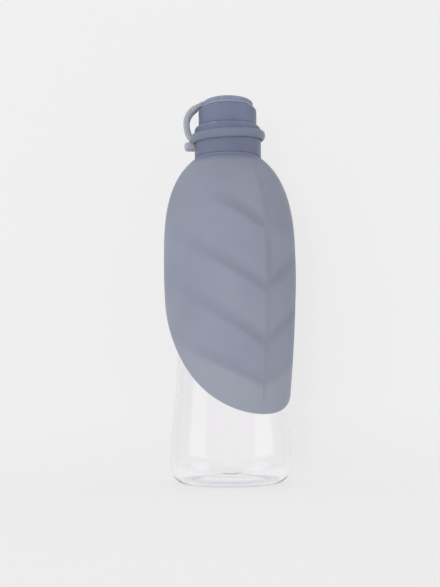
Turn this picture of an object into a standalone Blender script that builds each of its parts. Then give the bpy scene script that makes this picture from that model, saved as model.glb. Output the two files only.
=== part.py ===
"""Pet water bottle with a silicone leaf bowl turned down over it.

Metres, +Z up. The origin is on the bottle's axis, in the plane that it stands on.
The leaf's midrib and tip face -Y. The cap's tether loops out at TETHER_AZIMUTH.
"""

import math

import bmesh
import bpy
from mathutils import Matrix, Vector

# Facets of the round pieces
SEGMENTS = 44
ARC_STEPS = 3
SHARP_ANGLE = math.radians(32)

# Clearances
SEAT_GAP = 0.0003
NECK_THREAD_GAP = 0.0005
SPOUT_THREAD_GAP = 0.0007
PLUG_GAP = 0.0006
TILT_GAP = 0.0003
CAP_FOOT_GAP = 0.0004
LEAF_AIR_GAP = 0.00325
VEIN_SPACE = 0.0008

# Clear bottle
FOOT_INNER_RADIUS = 0.0235
FOOT_OUTER_RADIUS = 0.0260
PUNT_RISE = 0.0050
BASE_RADIUS = 0.0348
HEEL_HEIGHT = 0.0100
WAIST_RADIUS = 0.0304
WAIST_HEIGHT = 0.0720
CHEST_RADIUS = 0.0336
CHEST_HEIGHT = 0.1320
SHOULDER_HEIGHT = 0.1460
SHOULDER_RISE = 0.0400
BODY_WALL = 0.0011
NECK_RADIUS = 0.0157
NECK_WALL = 0.0019
NECK_LENGTH = 0.02014
NECK_BEAD_REACH = 0.0014
NECK_BEAD_HEIGHT = 0.0014
NECK_BEAD_SLOPE = 0.3
NECK_BEAD_DROP = 0.0012

# Gasket on the bottle's lip
GASKET_THICKNESS = 0.0015
GASKET_LIP = 0.0006

# Collar with the drinking spout
COLLAR_STEP = 0.00175
COLLAR_DECK = 0.0047
COLLAR_SHOULDER = 0.0030
COLLAR_BAND_HEIGHT = 0.0184
SPIGOT_WALL = 0.0017
FLANGE_REACH = 0.0008
FLANGE_THICKNESS = 0.0014
FLANGE_DROP = 0.0008
SPOUT_HEIGHT = 0.0078
SPOUT_RADIUS = 0.0146
SPOUT_WALL = 0.0026
SPOUT_EDGE = 0.0008

# Screw cap with its plug seal
CAP_WALL = 0.0019
CAP_EDGE = 0.0022
CAP_TOP_WALL = 0.0019
LINER_THICKNESS = 0.0012
PLUG_DEPTH = 0.0044
PLUG_FLOOR = 0.0018

# Snap-in button on the cap
BUTTON_RADIUS = 0.0152
BUTTON_HEIGHT = 0.0040
BUTTON_WALL = 0.0016
BUTTON_ROUNDNESS = 2.6
SHANK_RADIUS = 0.0095

# Tether: ring, strap and eye
TETHER_AZIMUTH = math.radians(149)
RING_HEIGHT = 0.0050
RING_WALL = 0.0020
RING_EDGE = 0.0008
RING_ROUND = 0.0018
RING_TILT = math.radians(4.8)
RING_LOW_SIDE = math.radians(58)
RING_DROP = 0.0062
EYE_THICKNESS = 0.0014
EYE_WALL = 0.0051
STRAP_WIDTH = 0.0080
STRAP_ROOT_THICKNESS = 0.0015
STRAP_THICKNESS = 0.0037
STRAP_EYE_THICKNESS = 0.00275
STRAP_EDGE = 0.0007
STRAP_ROOT_DROP = 0.00135
STRAP_ROOT_HANDLE = 0.0075
STRAP_ROOT_ANGLE = math.radians(62)
STRAP_EYE_HANDLE = 0.01285
STRAP_EYE_ANGLE = math.radians(-25)
STRAP_EYE_REACH = 0.0010
STRAP_EYE_LIFT = 0.0008
STRAP_STEPS = 18
STRAP_ROOT_SHARE = 0.27
STRAP_END_SHARE = 0.86
TAB_REACH = 0.0034
TAB_HEIGHT = 0.0046
TAB_WIDTH = 0.0070
TAB_LAP = 0.0009

# Silicone leaf
LEAF_WALL = 0.0018
LEAF_RIM = 0.0020
LEAF_RIM_WIDTH = 0.0022
LEAF_LEAN = 0.0012
LEAF_TIP_LEAN = 0.0022
LEAF_WIDEST_HEIGHT = 0.1189
LEAF_NECK_HEIGHT = 0.0027
LEAF_NECK_EASE = 0.0009
LEAF_TIP_HEIGHT = 0.0399
LEAF_BACK_HEIGHT = 0.1405
MARGIN_SWEEP = 0.54
MARGIN_TURN = math.radians(3.3)
CROWN_POWER = 3.36
TAPER_POWER = 1.47
KEEL_DEPTH = 0.0008
KEEL_SPREAD = math.radians(55)
MIDRIB_DEPTH = 0.0009
MIDRIB_WIDTH = 0.0034
VEIN_DEPTH = 0.0010
VEIN_SLOPE = 0.0044
VEIN_STEP = 0.0016
VEIN_CLIMB = 0.0245
VEIN_SETTLE = 0.8
VEIN_HEIGHTS = (0.1448, 0.1097, 0.0795, 0.0550)
VEIN_LENGTHS = (0.042, 0.072, 0.070, 0.066)
PANEL_CROWN = 0.0003
FIRST_PANEL_ROWS = (0.12, 0.3, 0.52, 0.76)
PANEL_ROWS = (0.33, 0.67)
INNER_ROWS = (0.0, 0.08, 0.18, 0.3, 0.44, 0.6, 0.8, 1.0)

# Heights that follow from the sizes above, from the bottle's shoulder upward
SHOULDER_TOP = SHOULDER_HEIGHT + SHOULDER_RISE * math.sqrt(1.0 - (NECK_RADIUS / CHEST_RADIUS) ** 2)
NECK_TOP = SHOULDER_TOP + NECK_LENGTH
GASKET_BASE = NECK_TOP + SEAT_GAP
DECK_UNDERSIDE = GASKET_BASE + GASKET_THICKNESS + SEAT_GAP
COLLAR_TOP = DECK_UNDERSIDE + COLLAR_DECK
SPOUT_TOP = COLLAR_TOP + SPOUT_HEIGHT
LINER_BASE = SPOUT_TOP + SEAT_GAP
CAP_CEILING = LINER_BASE + LINER_THICKNESS + SEAT_GAP
CAP_TOP = CAP_CEILING + CAP_TOP_WALL
CAP_BASE = COLLAR_TOP + CAP_FOOT_GAP
EYE_BASE = CAP_TOP + SEAT_GAP
BUTTON_BASE = EYE_BASE + EYE_THICKNESS + SEAT_GAP
PLUG_BASE = CAP_CEILING - PLUG_DEPTH
POCKET_FLOOR = PLUG_BASE + PLUG_FLOOR

# Heights downward from the collar
BAND_BASE = COLLAR_TOP - COLLAR_BAND_HEIGHT
LEAF_TOP = BAND_BASE - SEAT_GAP
LEAF_NECK_BASE = LEAF_TOP - LEAF_NECK_HEIGHT
FLANGE_TOP = LEAF_NECK_BASE - FLANGE_DROP
COLLAR_BASE = FLANGE_TOP - FLANGE_THICKNESS
NECK_BEAD_TOP = COLLAR_BASE - NECK_BEAD_DROP
RING_CENTRE = COLLAR_TOP - RING_DROP

# Radii that follow
NECK_BORE = NECK_RADIUS - NECK_WALL
COLLAR_BORE = NECK_RADIUS + NECK_THREAD_GAP
SPIGOT_RADIUS = COLLAR_BORE + SPIGOT_WALL
COLLAR_RADIUS = SPIGOT_RADIUS + COLLAR_STEP
FLANGE_RADIUS = SPIGOT_RADIUS + FLANGE_REACH
LEAF_NECK_BORE = SPIGOT_RADIUS + SEAT_GAP
SPOUT_BORE = SPOUT_RADIUS - SPOUT_WALL
CAP_BORE = SPOUT_RADIUS + SPOUT_THREAD_GAP
CAP_RADIUS = CAP_BORE + CAP_WALL
PLUG_RADIUS = SPOUT_BORE - PLUG_GAP
POCKET_RADIUS = SHANK_RADIUS + SEAT_GAP
EYE_BORE = SHANK_RADIUS + SEAT_GAP
EYE_RADIUS = EYE_BORE + EYE_WALL
LEAF_RADIUS = CHEST_RADIUS + LEAF_AIR_GAP + LEAF_WALL

# Spacing of the veins where they run above the leaf's edge
VEIN_MARGIN_STEP = VEIN_SLOPE + VEIN_STEP + VEIN_SPACE


# Scene and mesh helpers

def clear_scene():
    """Remove every object that the file opened with."""
    for item in list(bpy.data.objects):
        bpy.data.objects.remove(item, do_unlink=True)


def make_material(name, colour, roughness, alpha=1.0, transmission=0.0):
    """A Principled BSDF for a moulded plastic or silicone."""
    material = bpy.data.materials.new(name)
    material.use_nodes = True
    shader = material.node_tree.nodes["Principled BSDF"]
    shader.inputs["Base Color"].default_value = (*colour, 1.0)
    shader.inputs["Roughness"].default_value = roughness
    shader.inputs["Metallic"].default_value = 0.0
    shader.inputs["Alpha"].default_value = alpha
    shader.inputs["Transmission Weight"].default_value = transmission
    material.diffuse_color = (*colour, alpha)
    return material


def add_object(name, bm, material, height=0.0, parent=None):
    """Turn a bmesh into a smooth-shaded object that stands at a height on the axis."""
    bmesh.ops.recalc_face_normals(bm, faces=bm.faces)
    mesh = bpy.data.meshes.new(name)
    bm.to_mesh(mesh)
    bm.free()
    mesh.shade_smooth()
    mesh.set_sharp_from_angle(angle=SHARP_ANGLE)
    mesh.materials.append(material)
    item = bpy.data.objects.new(name, mesh)
    item.location.z = height
    item.parent = parent
    bpy.context.scene.collection.objects.link(item)
    return item


def arc(centre, radius, start, end, steps=ARC_STEPS):
    """Points (r, z) on a circular arc, from start to end in degrees."""
    points = []
    for step in range(steps + 1):
        angle = math.radians(start + (end - start) * step / steps)
        points.append((centre[0] + radius * math.cos(angle), centre[1] + radius * math.sin(angle)))
    return points


def turned(outline):
    """Spin an outline of (r, z) points a full turn about Z.

    An outline that leaves the axis and comes back to it is left open there;
    any other outline is closed into a ring.
    """
    bm = bmesh.new()
    verts = [bm.verts.new((radius, 0.0, height)) for radius, height in outline]
    edges = [bm.edges.new(pair) for pair in zip(verts, verts[1:])]
    if outline[0][0] > 0.0:
        edges.append(bm.edges.new((verts[-1], verts[0])))
    bmesh.ops.spin(
        bm,
        geom=verts + edges,
        cent=(0.0, 0.0, 0.0),
        axis=(0.0, 0.0, 1.0),
        angle=math.tau,
        steps=SEGMENTS,
        use_merge=True,
    )
    bmesh.ops.remove_doubles(bm, verts=bm.verts, dist=1e-7)
    return bm


def smooth_step(value):
    """Ease from 0 to 1 as value goes from 0 to 1."""
    value = min(max(value, 0.0), 1.0)
    return value * value * (3.0 - 2.0 * value)


# Clear bottle

def body_radius(height):
    """Outer radius of the bottle above its heel: flare, waist, chest and shoulder."""
    if height <= WAIST_HEIGHT:
        turn = math.pi * (height - HEEL_HEIGHT) / (WAIST_HEIGHT - HEEL_HEIGHT)
        return WAIST_RADIUS + (BASE_RADIUS - WAIST_RADIUS) * (1.0 + math.cos(turn)) / 2.0
    if height <= CHEST_HEIGHT:
        turn = math.pi * (height - WAIST_HEIGHT) / (CHEST_HEIGHT - WAIST_HEIGHT)
        return WAIST_RADIUS + (CHEST_RADIUS - WAIST_RADIUS) * (1.0 - math.cos(turn)) / 2.0
    rise = max(height - SHOULDER_HEIGHT, 0.0) / SHOULDER_RISE
    return CHEST_RADIUS * math.sqrt(max(1.0 - rise * rise, 0.0))


def spaced(start, end, count):
    """Evenly spaced values from start to end, both included."""
    return [start + (end - start) * step / count for step in range(count + 1)]


def body_side():
    """Outer points (r, z) of the wall, from the heel's edge up to the neck."""
    heights = spaced(HEEL_HEIGHT, WAIST_HEIGHT, 6)
    heights += spaced(WAIST_HEIGHT, CHEST_HEIGHT, 4)[1:]
    points = [(body_radius(height), height) for height in heights]
    lean = math.asin((SHOULDER_TOP - SHOULDER_HEIGHT) / SHOULDER_RISE)
    for angle in spaced(0.0, lean, 5):
        radius = CHEST_RADIUS * math.cos(angle)
        points.append((radius, SHOULDER_HEIGHT + SHOULDER_RISE * math.sin(angle)))
    return points


def body_heel():
    """Outer points of the rounded heel, from the foot's edge up to the wall."""
    reach = BASE_RADIUS - FOOT_OUTER_RADIUS
    points = []
    for angle in spaced(math.pi / 2, 0.0, 4)[:-1]:
        radius = FOOT_OUTER_RADIUS + reach * math.cos(angle)
        points.append((radius, HEEL_HEIGHT * (1.0 - math.sin(angle))))
    return points


def body_punt(lift):
    """Points of the domed punt, from the axis out to the foot, raised by lift."""
    bulge = (FOOT_INNER_RADIUS ** 2 + PUNT_RISE ** 2) / (2.0 * PUNT_RISE)
    centre = PUNT_RISE - bulge
    edge = math.asin(FOOT_INNER_RADIUS / bulge)
    points = []
    for angle in spaced(0.0, edge, 3):
        radius = (bulge + lift) * math.sin(angle)
        points.append((radius, centre + (bulge + lift) * math.cos(angle)))
    return points


def inward(points, wall):
    """The same wall line moved in by the wall, square to the line."""
    moved = []
    last = len(points) - 1
    for index, (radius, height) in enumerate(points):
        before = points[max(index - 1, 0)]
        after = points[min(index + 1, last)]
        run = Vector((after[0] - before[0], after[1] - before[1])).normalized()
        moved.append((radius - run.y * wall, height + run.x * wall))
    return moved


def make_bottle(material):
    """Blown bottle: domed punt, foot ring, flare, waist, shoulder and threaded neck."""
    side = body_side()
    heel = body_heel()
    bead = NECK_RADIUS + NECK_BEAD_REACH
    outer = body_punt(0.0) + heel + side
    outer += [
        (NECK_RADIUS, NECK_BEAD_TOP - NECK_BEAD_HEIGHT),
        (bead, NECK_BEAD_TOP - NECK_BEAD_HEIGHT * (1.0 - NECK_BEAD_SLOPE)),
        (bead, NECK_BEAD_TOP),
        (NECK_RADIUS, NECK_BEAD_TOP),
        (NECK_RADIUS, NECK_TOP),
        (NECK_BORE, NECK_TOP),
    ]
    inner = inward(heel[1:] + side[:-1], BODY_WALL)
    inner = body_punt(BODY_WALL)[:-1] + inner
    throat = (NECK_BORE, SHOULDER_TOP)
    outline = outer + [throat] + list(reversed(inner))
    return add_object("bottle_body", turned(outline), material)


# Collar, gasket and cap

def make_collar(material):
    """Threaded collar: spigot and flange that hold the leaf, band, deck and spout."""
    base = COLLAR_BASE
    outline = [(COLLAR_BORE, 0.0), (FLANGE_RADIUS - FLANGE_REACH / 2, 0.0)]
    outline += [(FLANGE_RADIUS, FLANGE_THICKNESS / 2), (FLANGE_RADIUS, FLANGE_TOP - base)]
    outline += [(SPIGOT_RADIUS, FLANGE_TOP - base), (SPIGOT_RADIUS, BAND_BASE - base)]
    outline += [(COLLAR_RADIUS, BAND_BASE - base)]
    corner = (COLLAR_RADIUS - COLLAR_SHOULDER, COLLAR_TOP - COLLAR_SHOULDER - base)
    outline += arc(corner, COLLAR_SHOULDER, 0.0, 90.0, 4)
    outline += [(SPOUT_RADIUS, COLLAR_TOP - base)]
    lip = (SPOUT_RADIUS - SPOUT_EDGE, SPOUT_TOP - SPOUT_EDGE - base)
    outline += arc(lip, SPOUT_EDGE, 0.0, 90.0, 2)
    outline += [(SPOUT_BORE, SPOUT_TOP - base), (SPOUT_BORE, DECK_UNDERSIDE - base)]
    outline += [(COLLAR_BORE, DECK_UNDERSIDE - base)]
    return add_object("spout_collar", turned(outline), material, base)


def washer(bore, radius, thickness):
    """Outline of a flat washer that stands on its own base."""
    return [(bore, 0.0), (radius, 0.0), (radius, thickness), (bore, thickness)]


def make_gasket(material):
    """Silicone washer between the bottle's lip and the collar's deck."""
    outline = washer(NECK_BORE - GASKET_LIP, COLLAR_BORE - SEAT_GAP, GASKET_THICKNESS)
    return add_object("collar_gasket", turned(outline), material, GASKET_BASE)


def make_liner(material):
    """Silicone washer between the spout's lip and the cap's ceiling."""
    outline = washer(PLUG_RADIUS + SEAT_GAP, CAP_BORE - SEAT_GAP, LINER_THICKNESS)
    return add_object("cap_liner", turned(outline), material, LINER_BASE)


def make_cap(material):
    """Screw cap: skirt, top with the button's pocket, and a plug that enters the spout."""
    base = CAP_BASE
    corner = (CAP_RADIUS - CAP_EDGE, CAP_TOP - CAP_EDGE - base)
    outline = [(0.0, PLUG_BASE - base), (PLUG_RADIUS - PLUG_GAP, PLUG_BASE - base)]
    outline += [(PLUG_RADIUS, PLUG_BASE + PLUG_GAP - base), (PLUG_RADIUS, CAP_CEILING - base)]
    outline += [(CAP_BORE, CAP_CEILING - base), (CAP_BORE, SPOUT_THREAD_GAP)]
    outline += [(CAP_BORE + SPOUT_THREAD_GAP, 0.0), (CAP_RADIUS, 0.0)]
    outline += arc(corner, CAP_EDGE, 0.0, 90.0)
    outline += [(POCKET_RADIUS, CAP_TOP - base), (POCKET_RADIUS, POCKET_FLOOR - base)]
    outline += [(0.0, POCKET_FLOOR - base)]
    return add_object("cap_shell", turned(outline), material, base)


def button_crown(radius, height, steps):
    """Rounded crown (r, z) above the button's rim, from the rim to the axis."""
    power = 2.0 / BUTTON_ROUNDNESS
    points = []
    for angle in spaced(0.0, math.pi / 2, steps)[:-1]:
        across = radius * math.cos(angle) ** power
        points.append((across, height * math.sin(angle) ** power))
    return points + [(0.0, height)]


def make_button(material):
    """Domed button whose hollow shank snaps into the cap and traps the tether's eye."""
    shank = BUTTON_BASE - POCKET_FLOOR - SEAT_GAP
    bore = SHANK_RADIUS - BUTTON_WALL
    crown = button_crown(BUTTON_RADIUS, BUTTON_HEIGHT, 6)
    outline = [(0.0, BUTTON_HEIGHT - BUTTON_WALL), (bore, BUTTON_HEIGHT - BUTTON_WALL * 1.2)]
    outline += [(bore, -shank), (SHANK_RADIUS, -shank), (SHANK_RADIUS, 0.0)]
    outline += crown
    return add_object("cap_button", turned(outline), material, BUTTON_BASE)


# Tether

def ring_bore():
    """Bore that lets the tilted ring pass round the collar."""
    half = RING_HEIGHT / 2
    reach = COLLAR_RADIUS + TILT_GAP + half * math.sin(RING_TILT)
    return reach / math.cos(RING_TILT)


def root_ring_height():
    """Height of the tilted ring's middle where the strap leaves it."""
    middle = ring_bore() + RING_WALL / 2
    return RING_CENTRE - middle * math.sin(RING_TILT) * math.cos(RING_LOW_SIDE)


def strap_ends():
    """Root, on the ring's low side, and eye end of the strap's middle line, as (r, z)."""
    middle = ring_bore() + RING_WALL / 2
    root = Vector((middle, root_ring_height() - STRAP_ROOT_DROP))
    eye = Vector((BUTTON_RADIUS + STRAP_EYE_REACH, EYE_BASE + EYE_THICKNESS / 2 + STRAP_EYE_LIFT))
    return root, eye


def strap_point(share):
    """Place (r, z), direction and thickness of the strap at a share of its length."""
    root, eye = strap_ends()
    lift = Vector((math.cos(STRAP_ROOT_ANGLE), math.sin(STRAP_ROOT_ANGLE)))
    drop = Vector((math.cos(STRAP_EYE_ANGLE), math.sin(STRAP_EYE_ANGLE)))
    first = root + lift * STRAP_ROOT_HANDLE
    second = eye + drop * STRAP_EYE_HANDLE
    rest = 1.0 - share
    place = root * rest ** 3 + first * 3 * rest * rest * share
    place = place + second * 3 * rest * share * share + eye * share ** 3
    run = (first - root) * rest * rest + (second - first) * 2 * rest * share
    run = (run + (eye - second) * share * share).normalized()
    thickness = STRAP_ROOT_THICKNESS
    thickness += (STRAP_THICKNESS - STRAP_ROOT_THICKNESS) * smooth_step(share * 4.0)
    end = (share - STRAP_END_SHARE) / (1.0 - STRAP_END_SHARE)
    thickness -= (STRAP_THICKNESS - STRAP_EYE_THICKNESS) * smooth_step(end)
    return place, run, thickness


def band_section(place, run, thickness, width):
    """Eight corners of the strap's section, square to its run in the XZ plane."""
    out = Vector((-run.y, run.x))
    half = thickness / 2
    side = width / 2
    edge = min(STRAP_EDGE, half * 0.6)
    corners = [
        (half, side - edge),
        (half - edge, side),
        (edge - half, side),
        (-half, side - edge),
        (-half, edge - side),
        (edge - half, -side),
        (half - edge, -side),
        (half, edge - side),
    ]
    return [(place.x + out.x * up, across, place.y + out.y * up) for up, across in corners]


def band(stations, width=STRAP_WIDTH):
    """Closed solid through stations of (place, run, thickness)."""
    bm = bmesh.new()
    loops = []
    for place, run, thickness in stations:
        loops.append([bm.verts.new(corner) for corner in band_section(place, run, thickness, width)])
    count = len(loops[0])
    for here, there in zip(loops, loops[1:]):
        for index in range(count):
            after = (index + 1) % count
            bm.faces.new((here[index], here[after], there[after], there[index]))
    bm.faces.new(list(reversed(loops[0])))
    bm.faces.new(loops[-1])
    return bm


def strap_stations(start, end):
    """Stations along a stretch of the strap, given as shares of its length."""
    count = max(2, round(STRAP_STEPS * (end - start)))
    return [strap_point(share) for share in spaced(start, end, count)]


def strap_splits():
    """Shares of the strap's length where its root, middle and eye stretches part."""
    root, eye = strap_ends()
    length = (eye - root).length * 1.5
    gap = SEAT_GAP / length
    return STRAP_ROOT_SHARE, STRAP_ROOT_SHARE + gap, STRAP_END_SHARE - gap, STRAP_END_SHARE


def guide(name, bm, material, parent):
    """A hidden shape that a Boolean joins to its piece."""
    item = add_object(name, bm, material, 0.0, parent)
    item.hide_render = True
    item.display_type = "WIRE"
    return item


def join(item, other):
    """Union another shape into an object."""
    modifier = item.modifiers.new("join_" + other.name, "BOOLEAN")
    modifier.operation = "UNION"
    modifier.solver = "EXACT"
    modifier.object = other


def ring_outline():
    """Section of the tether's ring with broken edges, about its own middle."""
    bore = ring_bore()
    outside = bore + RING_WALL
    half = RING_HEIGHT / 2
    edge = RING_EDGE
    return [
        (bore, edge - half),
        (bore + edge, -half),
        (outside - edge, -half),
        (outside, RING_ROUND - half),
        (outside, half - RING_ROUND),
        (outside - edge, half),
        (bore + edge, half),
        (bore, half - edge),
    ]


def tab_stations():
    """Stations of the pull tab, a tongue under the ring that starts just clear of the collar."""
    inside = COLLAR_RADIUS + TILT_GAP
    outside = ring_bore() + RING_WALL + TAB_REACH
    middle = root_ring_height() - RING_HEIGHT / 2 - TAB_HEIGHT / 2 + TAB_LAP
    outward = Vector((1.0, 0.0))
    shapes = [(inside, TAB_HEIGHT), (outside - TAB_REACH / 2, TAB_HEIGHT), (outside, TAB_HEIGHT * 0.55)]
    return [(Vector((radius, middle)), outward, height) for radius, height in shapes]


def make_ring(material, pivot):
    """Tilted ring round the collar, with the strap's root and the pull tab beside it."""
    bm = turned(ring_outline())
    tilt = Matrix.Rotation(RING_LOW_SIDE, 4, "Z") @ Matrix.Rotation(RING_TILT, 4, "Y")
    bm.transform(Matrix.Translation((0.0, 0.0, RING_CENTRE)) @ tilt)
    ring = add_object("tether_ring", bm, material, 0.0, pivot)
    root_end = strap_splits()[0]
    root = guide("strap_root", band(strap_stations(0.0, root_end)), material, pivot)
    tab = guide("pull_tab", band(tab_stations(), TAB_WIDTH), material, pivot)
    join(ring, root)
    join(ring, tab)
    return ring


def make_strap(material, pivot):
    """Free middle of the strap, which bends when the cap lifts."""
    start, end = strap_splits()[1:3]
    return add_object("tether_strap", band(strap_stations(start, end)), material, 0.0, pivot)


def make_eye(material, pivot):
    """Eye round the button's shank, with the end of the strap."""
    outline = washer(EYE_BORE, EYE_RADIUS, EYE_THICKNESS)
    bm = turned(outline)
    bm.transform(Matrix.Translation((0.0, 0.0, EYE_BASE)))
    eye = add_object("tether_eye", bm, material, 0.0, pivot)
    stations = strap_stations(strap_splits()[3], 1.0)
    inward_run = Vector((-1.0, 0.0))
    middle = EYE_BASE + EYE_THICKNESS / 2
    for radius in (BUTTON_RADIUS + SEAT_GAP, (EYE_BORE + EYE_RADIUS) / 2):
        stations.append((Vector((radius, middle)), inward_run, EYE_THICKNESS))
    end = guide("strap_end", band(stations), material, pivot)
    join(eye, end)
    return eye


# Silicone leaf

def leaf_crown():
    """Half height of the leaf's crown, so that it comes in to the collar at its neck."""
    span = LEAF_TOP - LEAF_NECK_EASE - LEAF_WIDEST_HEIGHT
    return span / (1.0 - (COLLAR_RADIUS / LEAF_RADIUS) ** 2) ** (1.0 / CROWN_POWER)


def leaf_tip_radius():
    """Radius at the tip, which rests on the bottle's flare."""
    return body_radius(LEAF_TIP_HEIGHT) + SEAT_GAP + LEAF_RIM - LEAF_LEAN - LEAF_TIP_LEAN


def leaf_drop(height):
    """Share of the way from the leaf's widest height down to its tip, 0 above it."""
    drop = (LEAF_WIDEST_HEIGHT - height) / (LEAF_WIDEST_HEIGHT - LEAF_TIP_HEIGHT)
    return min(max(drop, 0.0), 1.0)


def leaf_radius(height):
    """Outer radius of the leaf's round section: crown, belly and taper to the tip."""
    if height > LEAF_WIDEST_HEIGHT:
        rise = (height - LEAF_WIDEST_HEIGHT) / leaf_crown()
        radius = LEAF_RADIUS * math.sqrt(max(1.0 - rise ** CROWN_POWER, 0.0))
        return max(radius, COLLAR_RADIUS)
    return LEAF_RADIUS - (LEAF_RADIUS - leaf_tip_radius()) * leaf_drop(height) ** TAPER_POWER


def leaf_slope(height):
    """Stretch of the wall's thickness measured level, where the section slopes."""
    step = 0.0005
    slope = (leaf_radius(height + step) - leaf_radius(height - step)) / (2 * step)
    return math.sqrt(1.0 + slope * slope)


def leaf_shape(angle, height):
    """Outer radius with the lean toward the tip and the keel at the midrib."""
    lean = LEAF_LEAN * smooth_step((LEAF_NECK_BASE - height) / (LEAF_TOP - LEAF_WIDEST_HEIGHT))
    lean += LEAF_TIP_LEAN * smooth_step(leaf_drop(height))
    radius = leaf_radius(height) + lean * math.cos(angle)
    share = min(abs(angle) / KEEL_SPREAD, 1.0)
    strength = smooth_step((LEAF_NECK_BASE - height) / 0.02)
    strength *= smooth_step((height - LEAF_TIP_HEIGHT) / (LEAF_WIDEST_HEIGHT - LEAF_TIP_HEIGHT))
    return radius - KEEL_DEPTH * strength * 6.75 * share * (1.0 - share) ** 2


def margin_height(angle):
    """Height of the leaf's edge: low at the tip, which sits a little aside, high at the back."""
    aside = MARGIN_TURN * ((1.0 + math.cos(angle)) / 2.0) ** 3
    share = (1.0 - math.cos(angle - aside)) / 2.0
    share = share * (1.0 - MARGIN_SWEEP) + share * share * MARGIN_SWEEP
    return LEAF_TIP_HEIGHT + (LEAF_BACK_HEIGHT - LEAF_TIP_HEIGHT) * share


def vein_height(index, angle):
    """Height of a side vein, which climbs away from the midrib and levels off."""
    limit = VEIN_SETTLE * (LEAF_NECK_BASE - VEIN_HEIGHTS[index])
    climb = limit * math.tanh(VEIN_CLIMB * abs(angle) / limit)
    floor = margin_height(angle) + VEIN_MARGIN_STEP * (len(VEIN_HEIGHTS) - index)
    return max(VEIN_HEIGHTS[index] + climb, floor)


def vein_strength(index, angle):
    """Depth of a vein as a share, fading out before its end."""
    run = abs(angle) * LEAF_RADIUS / VEIN_LENGTHS[index]
    return 1.0 - smooth_step(run * 2.0 - 1.0)


def leaf_rows(angle):
    """Heights down one column of the leaf, each with its relief.

    Each vein is a crease: the panel above slopes in to it, and the panel below starts
    again with a short step.
    """
    rows = [(LEAF_TOP, 0.0), (LEAF_TOP - LEAF_NECK_EASE, 0.0), (LEAF_NECK_BASE, 0.0)]
    rows += [(LEAF_NECK_BASE - LEAF_NECK_EASE, 0.0)]
    above = LEAF_NECK_BASE - LEAF_NECK_EASE
    for index in range(len(VEIN_HEIGHTS)):
        middle = vein_height(index, angle)
        depth = VEIN_DEPTH * vein_strength(index, angle)
        for share in PANEL_ROWS if index else FIRST_PANEL_ROWS:
            crown = PANEL_CROWN * (index > 0)
            rows.append((above + (middle + VEIN_SLOPE - above) * share, crown))
        rows += [(middle + VEIN_SLOPE, 0.0), (middle, -depth), (middle - VEIN_STEP, 0.0)]
        above = middle - VEIN_STEP
    edge = margin_height(angle)
    rim = edge + LEAF_RIM_WIDTH
    rows += [(above + (rim - above) * 0.5, PANEL_CROWN), (rim, 0.0)]
    return rows, edge


def midrib_relief(angle, height):
    """Groove of the midrib, fading before the neck and the tip."""
    reach = MIDRIB_WIDTH / 2 / LEAF_RADIUS
    if abs(angle) >= reach:
        return 0.0
    fade = smooth_step((LEAF_NECK_BASE - height) / 0.006)
    fade *= smooth_step((height - LEAF_TIP_HEIGHT - LEAF_RIM_WIDTH) / 0.006)
    return -MIDRIB_DEPTH * fade * (1.0 - abs(angle) / reach)


def leaf_point(angle, height, radius):
    """Point of the leaf at an angle from its tip, which faces -Y."""
    return (radius * math.sin(angle), -radius * math.cos(angle), height)


def leaf_inside(angle, edge):
    """Inner points down one column: neck bore, then the wall's inner face to the rim."""
    points = [leaf_point(angle, height, LEAF_NECK_BORE) for height in (LEAF_TOP, LEAF_NECK_BASE)]
    top = LEAF_NECK_BASE - LEAF_NECK_EASE
    rim = edge + LEAF_RIM_WIDTH
    for share in INNER_ROWS:
        height = top + (rim - top) * share
        inside = leaf_shape(angle, height) - LEAF_WALL * leaf_slope(height)
        points.append(leaf_point(angle, height, inside))
    return points


def leaf_column(angle):
    """Outer and inner points down one column, from the neck to the edge."""
    rows, edge = leaf_rows(angle)
    outer = []
    for height, relief in rows:
        sunk = min(relief, midrib_relief(angle, height))
        outer.append(leaf_point(angle, height, leaf_shape(angle, height) + sunk))
    inner = leaf_inside(angle, edge)
    swell = (LEAF_RIM - LEAF_WALL) / 2
    for height in (edge + LEAF_RIM_WIDTH * 0.6, edge):
        shape = leaf_shape(angle, height) + swell
        outer.append(leaf_point(angle, height, shape))
        inner.append(leaf_point(angle, height, shape - LEAF_RIM))
    return outer + list(reversed(inner))


def leaf_angles():
    """Column angles all round, with two more at the sides of the midrib's groove."""
    angles = [math.tau * step / SEGMENTS - math.pi for step in range(SEGMENTS)]
    edge = MIDRIB_WIDTH / 2 / LEAF_RADIUS
    return sorted(angles + [-edge, edge])


def make_leaf(material):
    """Turned-down bowl: neck in the collar's groove, keel, midrib, veins and rim."""
    bm = bmesh.new()
    columns = []
    for angle in leaf_angles():
        columns.append([bm.verts.new(point) for point in leaf_column(angle)])
    rows = len(columns[0])
    for index, here in enumerate(columns):
        there = columns[(index + 1) % len(columns)]
        for row in range(rows):
            below = (row + 1) % rows
            bm.faces.new((here[row], there[row], there[below], here[below]))
    return add_object("leaf_bowl", bm, material)


def build():
    """Make every piece of the bottle."""
    clear_scene()
    clear = make_material("clear_pet", (0.93, 0.94, 0.95), 0.05, 0.3, 0.9)
    slate = make_material("slate_plastic", (0.175, 0.185, 0.262), 0.45)
    grey = make_material("grey_silicone", (0.300, 0.315, 0.385), 0.6)
    soft = make_material("clear_silicone", (0.80, 0.81, 0.82), 0.5)
    make_bottle(clear)
    make_gasket(soft)
    make_collar(slate)
    make_liner(soft)
    make_cap(slate)
    make_button(slate)
    pivot = bpy.data.objects.new("tether_pivot", None)
    pivot.rotation_euler.z = TETHER_AZIMUTH
    bpy.context.scene.collection.objects.link(pivot)
    make_ring(grey, pivot)
    make_strap(grey, pivot)
    make_eye(grey, pivot)
    make_leaf(grey)


build()
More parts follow.
